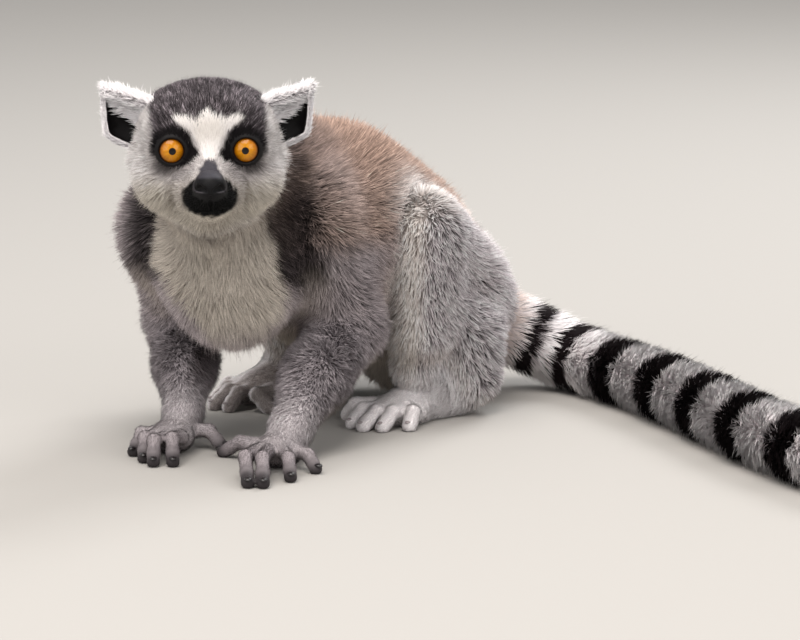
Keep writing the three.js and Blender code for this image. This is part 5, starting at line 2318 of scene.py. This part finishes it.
@dataclass
class Nails:
    """Flat nails on the tips of some digits, as one piece."""

    name: str
    digits: Sequence[Digit]
    colour: int
    size: tuple[float, float, float] = (3.0, 2.2, 1.0)  # half its length, width and height
    columns: int = 14
    rows: int = 8

    def ball(self) -> Array:
        """The points of a ball of radius one, from the bottom up.

        Returns:
            Its points: the bottom, rings of points, and the top.
        """
        turns = np.arange(self.columns) * 2 * math.pi / self.columns
        ring = np.stack([np.cos(turns), np.sin(turns), np.zeros(self.columns)], 1)
        tilts = np.linspace(-math.pi / 2, math.pi / 2, self.rows + 1)[1:-1]
        rings = [ring * math.cos(tilt) + vec(0, 0, math.sin(tilt)) for tilt in tilts]
        return np.concatenate([[vec(0, 0, -1)], *rings, [vec(0, 0, 1)]])

    def build(self) -> bpy.types.Object:
        """Makes the nails, each a flattened drop half sunk in its digit.

        Returns:
            The nails.
        """
        ball, faces = self.ball(), ball_faces(self.columns, self.rows - 1)
        points, triangles = [], []
        for i, digit in enumerate(self.digits):
            ahead = unit((digit.end - digit.joint) * vec(1, 1, 0))
            aside = vec(-ahead[1], ahead[0], 0)
            drop = ball * vec(*self.size)
            drop[:, 2] -= 0.05 * drop[:, 0] ** 2
            centre = digit.end + ahead * (digit.thick * 0.55) + vec(0, 0, digit.thick * 0.62)
            points.append(centre + drop[:, :1] * ahead + drop[:, 1:2] * aside + drop[:, 2:] * vec(0, 0, 1))
            triangles.append(faces + i * len(ball))
        mesh = triangle_mesh(self.name, np.concatenate(points), np.concatenate(triangles))
        set_colours(mesh, np.tile(linear(self.colour), (len(mesh.vertices), 1)))
        return add_piece(self.name, mesh, MATERIALS.nail, "bare_skin")


# ---- studio


@dataclass(frozen=True)
class Lamp:
    """A soft square light, with its place and size in metres and its power in watts."""

    name: str
    place: tuple[float, float, float]
    size: float
    power: float
    colour: int = 0xFFFFFF

    def build(self, target: Vector) -> None:
        """Hangs the lamp and turns it to the animal.

        Args:
            target: The place it is turned to.
        """
        light = bpy.data.lights.new(self.name, "AREA")
        light.size, light.energy = self.size, self.power
        light.color = linear(self.colour)
        obj = add_object(self.name, light)
        obj.location = self.place
        obj.rotation_euler = (target - Vector(self.place)).to_track_quat("-Z", "Y").to_euler()


@dataclass(frozen=True)
class Studio:
    """A pale floor, soft light and a camera that looks down a little at the animal."""

    floor_reach: float = 30.0  # metres each way
    floor_colour: int = 0xACA9A5
    sky: int = 0xF4F3F2
    sky_strength: float = 0.68
    camera_ahead: tuple[float, float, float] = (105.3, -2182.95, 470.46)
    camera_tilt: float = 10.0
    lens: float = 180.0
    lit: tuple[float, float, float] = (-0.1, 0, 0.1)  # the place that the lamps are turned to
    lamps: tuple[Lamp, ...] = (
        Lamp("key", (-0.5, -1.0, 2.5), 2.0, 76.0, 0xFFF9F3),
        Lamp("front", (-1.7, -1.9, 0.9), 1.6, 19.0, 0xFFFBF8),
        Lamp("fill", (1.5, -2.1, 1.2), 1.6, 20.0, 0xFFFBF8),
        Lamp("rim", (0.9, 1.5, 1.7), 1.0, 32.0),
    )

    def build(self) -> None:
        """Sets up the floor, the lights and the camera."""
        r = self.floor_reach
        mesh = bpy.data.meshes.new("floor")
        mesh.from_pydata([(-r, -r, 0), (r, -r, 0), (r, r, 0), (-r, r, 0)], [], [(0, 1, 2, 3)])
        material = bpy.data.materials.new("painted floor")  # matt paint: one plain colour
        material.use_nodes = True
        shader = material.node_tree.nodes["Principled BSDF"]
        shader.inputs["Base Color"].default_value = (*linear(self.floor_colour), 1)
        shader.inputs["Roughness"].default_value = 0.9
        mesh.materials.append(material)
        add_object("floor", mesh)
        self.build_sky()
        for lamp in self.lamps:
            lamp.build(Vector(self.lit))
        self.build_camera()

    def build_sky(self) -> None:
        """An even pale sky."""
        world = bpy.data.worlds.new("sky")
        world.use_nodes = True
        background = world.node_tree.nodes["Background"]
        background.inputs["Color"].default_value = (*linear(self.sky), 1)
        background.inputs["Strength"].default_value = self.sky_strength
        bpy.context.scene.world = world

    def build_camera(self) -> None:
        """Sets up a long lens that looks down a little."""
        camera = bpy.data.cameras.new("camera")
        camera.lens = self.lens
        camera.clip_end = 100
        obj = add_object("camera", camera)
        obj.location = to_frame(np.array(self.camera_ahead))
        obj.rotation_euler = (math.radians(90 - self.camera_tilt), 0, 0)
        bpy.context.scene.camera = obj
        bpy.context.scene.view_settings.view_transform = "Standard"


# ---- the whole


COAT = (
    CoatPiece("coat_face", "face_coat", (Part.BROW, Part.CHEEK, Part.MUZZLE, Part.LID, Part.THROAT)),
    CoatPiece("coat_crown", "face_coat", (Part.CROWN,)),
    CoatPiece("coat_neck", "breast_coat", (Part.NECK, Part.BREAST)),
    CoatPiece("coat_back", "back_coat", (Part.TRUNK,)),
    CoatPiece("coat_rump", "back_coat", (Part.RUMP,)),
    CoatPiece("coat_arms", "limb_coat", (Part.ARM, Part.FOREARM)),
    CoatPiece("coat_legs", "limb_coat", (Part.THIGH, Part.SHIN)),
    CoatPiece("coat_feet", "foot_coat", (Part.HAND, Part.FINGER, Part.TOE, Part.FOOT)),
    CoatPiece("coat_tail", "tail_coat", (Part.TAIL,)),
)
EAR_COAT = CoatPiece("coat_ears", "ear_coat", (Part.EAR,), BENT)
NAILS = (
    Nails("nails_hands", [digit for fingers in FINGERS.values() for digit in fingers], 0x1C181A),
    Nails("nails_feet", [toe for leg in HIND_LEGS for toe in leg.toes()], 0x948B8C, (2.2, 1.7, 0.8)),
)


def main() -> None:
    """Builds the animal and its studio, and reports each piece."""
    logging.basicConfig(level=logging.INFO, format="%(message)s")
    rng = np.random.default_rng(SEED)
    thin = 1.0
    bare = SkinMesher(FLESH).mesh()
    fur = Fur(FLESH, Ground.of(bare), rng, thin)
    pieces = [Skin(joined(bare, [ear.mesh() for ear in EARS])).build()]
    pieces += [piece.build(fur.seeds(piece), rng) for piece in COAT]
    pieces.append(EAR_COAT.build(EarFur(rng, thin).seeds(), rng))
    pieces += [Eyeball("eye_left", 1).build(), Eyeball("eye_right", -1).build()]
    pieces += [nails.build() for nails in NAILS]
    for piece in pieces:
        log.info("%s: %d faces", piece.name, len(piece.data.polygons))
    Studio().build()
    log.info("studio: floor, sky, lamps and camera")


if __name__ == "__main__":
    main()
